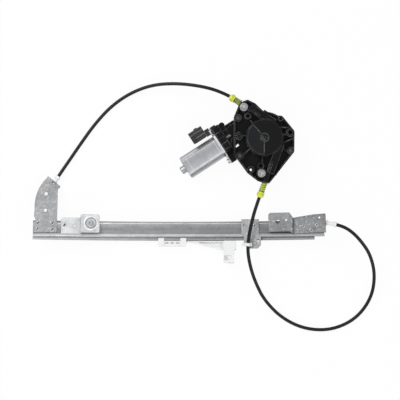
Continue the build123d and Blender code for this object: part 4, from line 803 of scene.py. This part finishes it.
def ribbed_sleeves():
    """The adjusters' plastic sleeves, ribbed where the springs sit on them."""
    shape = bmesh.new()
    rib_step, rib_r = 1.6, sleeve_r + 0.35
    for angle, start, end in adjusters:
        length = end - start - cap_length + 2
        profile = [(wire_hole_r, 0), (sleeve_r - 0.3, 0), (sleeve_r, 0.3)]
        for step in range(int((length - 1.4) / rib_step)):
            low = 0.5 + step * rib_step
            profile += [(sleeve_r, low), (rib_r, low + 0.35), (rib_r, low + 0.85)]
            profile += [(sleeve_r, low + 1.2)]
        profile += [(sleeve_r, length), (wire_hole_r, length), (wire_hole_r, 0)]
        turn_profile(shape, profile, leaving_drum(angle, start))
    finish_piece("adjuster_sleeves_ribbed", shape, "olive_plastic", stands_for=["adjuster_sleeves"])


# Conduits
def lay_conduit(name, route):
    """A conduit: a smooth curve with the route's points, from the drum housing to its ferrule."""
    line = bpy.data.curves.new(name, "CURVE")
    line.dimensions = "3D"
    line.bevel_depth = conduit_width / 2 * mm
    line.bevel_resolution = 6
    line.resolution_u = 16
    line.use_fill_caps = True
    spline = line.splines.new("NURBS")
    spline.points.add(len(route) - 1)
    for point, place in zip(spline.points, route):
        point.co = (*(part * mm for part in place), 1)
    spline.order_u = 3
    spline.use_endpoint_u = True
    line.materials.append(finishes["black_conduit"])
    piece = bpy.data.objects.new(name, line)
    bpy.context.scene.collection.objects.link(piece)
    return piece


def lay_conduits():
    """Both conduits, each in place of the CAD solid of its name."""
    for name, route in conduit_routes.items():
        piece = lay_conduit(name + "_sheath", route)
        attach(piece, "frame")
        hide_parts(name)


# The room: a white floor, a white background and soft light from above. Sizes are in metres.
floor_size, floor_drop = 6.0, 0.0004
floor_glow = 0.94
light_strength, seen_strength = 0.45, 0.9


def lay_floor():
    """A floor just below the parts, shining white to the camera and pale to the parts."""
    mesh = bmesh.new()
    bmesh.ops.create_grid(mesh, x_segments=1, y_segments=1, size=floor_size / 2)
    middle = (picture_middle.x, picture_middle.y, cad_box[0][2] - floor_drop)
    bmesh.ops.translate(mesh, verts=mesh.verts, vec=middle)
    data = bpy.data.meshes.new("floor")
    mesh.to_mesh(data)
    mesh.free()
    floor = bpy.data.objects.new("floor", data)
    bpy.context.scene.collection.objects.link(floor)
    paper = Finish("paper_floor", base_color=(0.93, 0.93, 0.93), roughness=0.9)
    seen, mirrored, through = (
        paper.node("LightPath", output=kind + " Ray")
        for kind in ("Is Camera", "Is Glossy", "Is Transmission")
    )
    shown = paper.number("MAXIMUM", paper.number("MAXIMUM", seen, mirrored), through)
    white = paper.node("Emission", Color=(1.0, 1.0, 1.0), Strength=1.0)
    plain = Value(paper, paper.shader.outputs[0])
    mixed = paper.node("MixShader", input_0=shown * floor_glow, input_1=plain, input_2=white)
    paper.feed(paper.tree.nodes["Material Output"].inputs["Surface"], mixed)
    data.materials.append(paper.material)


def light_room():
    """A white background that shines less on the parts than it shows, and three soft lamps."""
    world = bpy.data.worlds.new("studio")
    world.use_nodes = True
    bpy.context.scene.world = world
    tree = world.node_tree
    path = tree.nodes.new("ShaderNodeLightPath")
    direct = tree.nodes.new("ShaderNodeMath")
    direct.operation = "MAXIMUM"
    tree.links.new(path.outputs["Is Camera Ray"], direct.inputs[0])
    tree.links.new(path.outputs["Is Glossy Ray"], direct.inputs[1])
    strength = tree.nodes.new("ShaderNodeMapRange")
    strength.inputs["To Min"].default_value = light_strength
    strength.inputs["To Max"].default_value = seen_strength
    tree.links.new(direct.outputs[0], strength.inputs["Value"])
    tree.links.new(strength.outputs[0], tree.nodes["Background"].inputs["Strength"])
    tree.nodes["Background"].inputs["Color"].default_value = (1, 1, 1, 1)

    # Name, place from the picture's middle, size and power of each lamp
    lamps = (
        ("key_softbox", (-0.9, 0.9, 1.3), 0.9, 15.0),
        ("fill_softbox", (1.1, -0.3, 1.2), 1.2, 6.0),
        ("low_softbox", (-0.2, -1.3, 0.9), 0.9, 5.0),
    )
    for name, place, size, power in lamps:
        light = bpy.data.lights.new(name, "AREA")
        light.shape = "SQUARE"
        light.size = size
        light.energy = power
        lamp = bpy.data.objects.new(name, light)
        lamp.location = Vector(place) + picture_middle
        lamp.rotation_euler = Vector(place).to_track_quat("Z", "Y").to_euler()
        bpy.context.scene.collection.objects.link(lamp)


bpy.context.scene.view_settings.view_transform = "Standard"
place_camera()
lay_conduits()
dress_solids()
cut_studs()
cut_screws()
roll_rivets()
adjuster_fittings()
breather()
housing_webs()
can_flange_rim()
cut_rail_stud()
ribbed_sleeves()
lay_floor()
light_room()
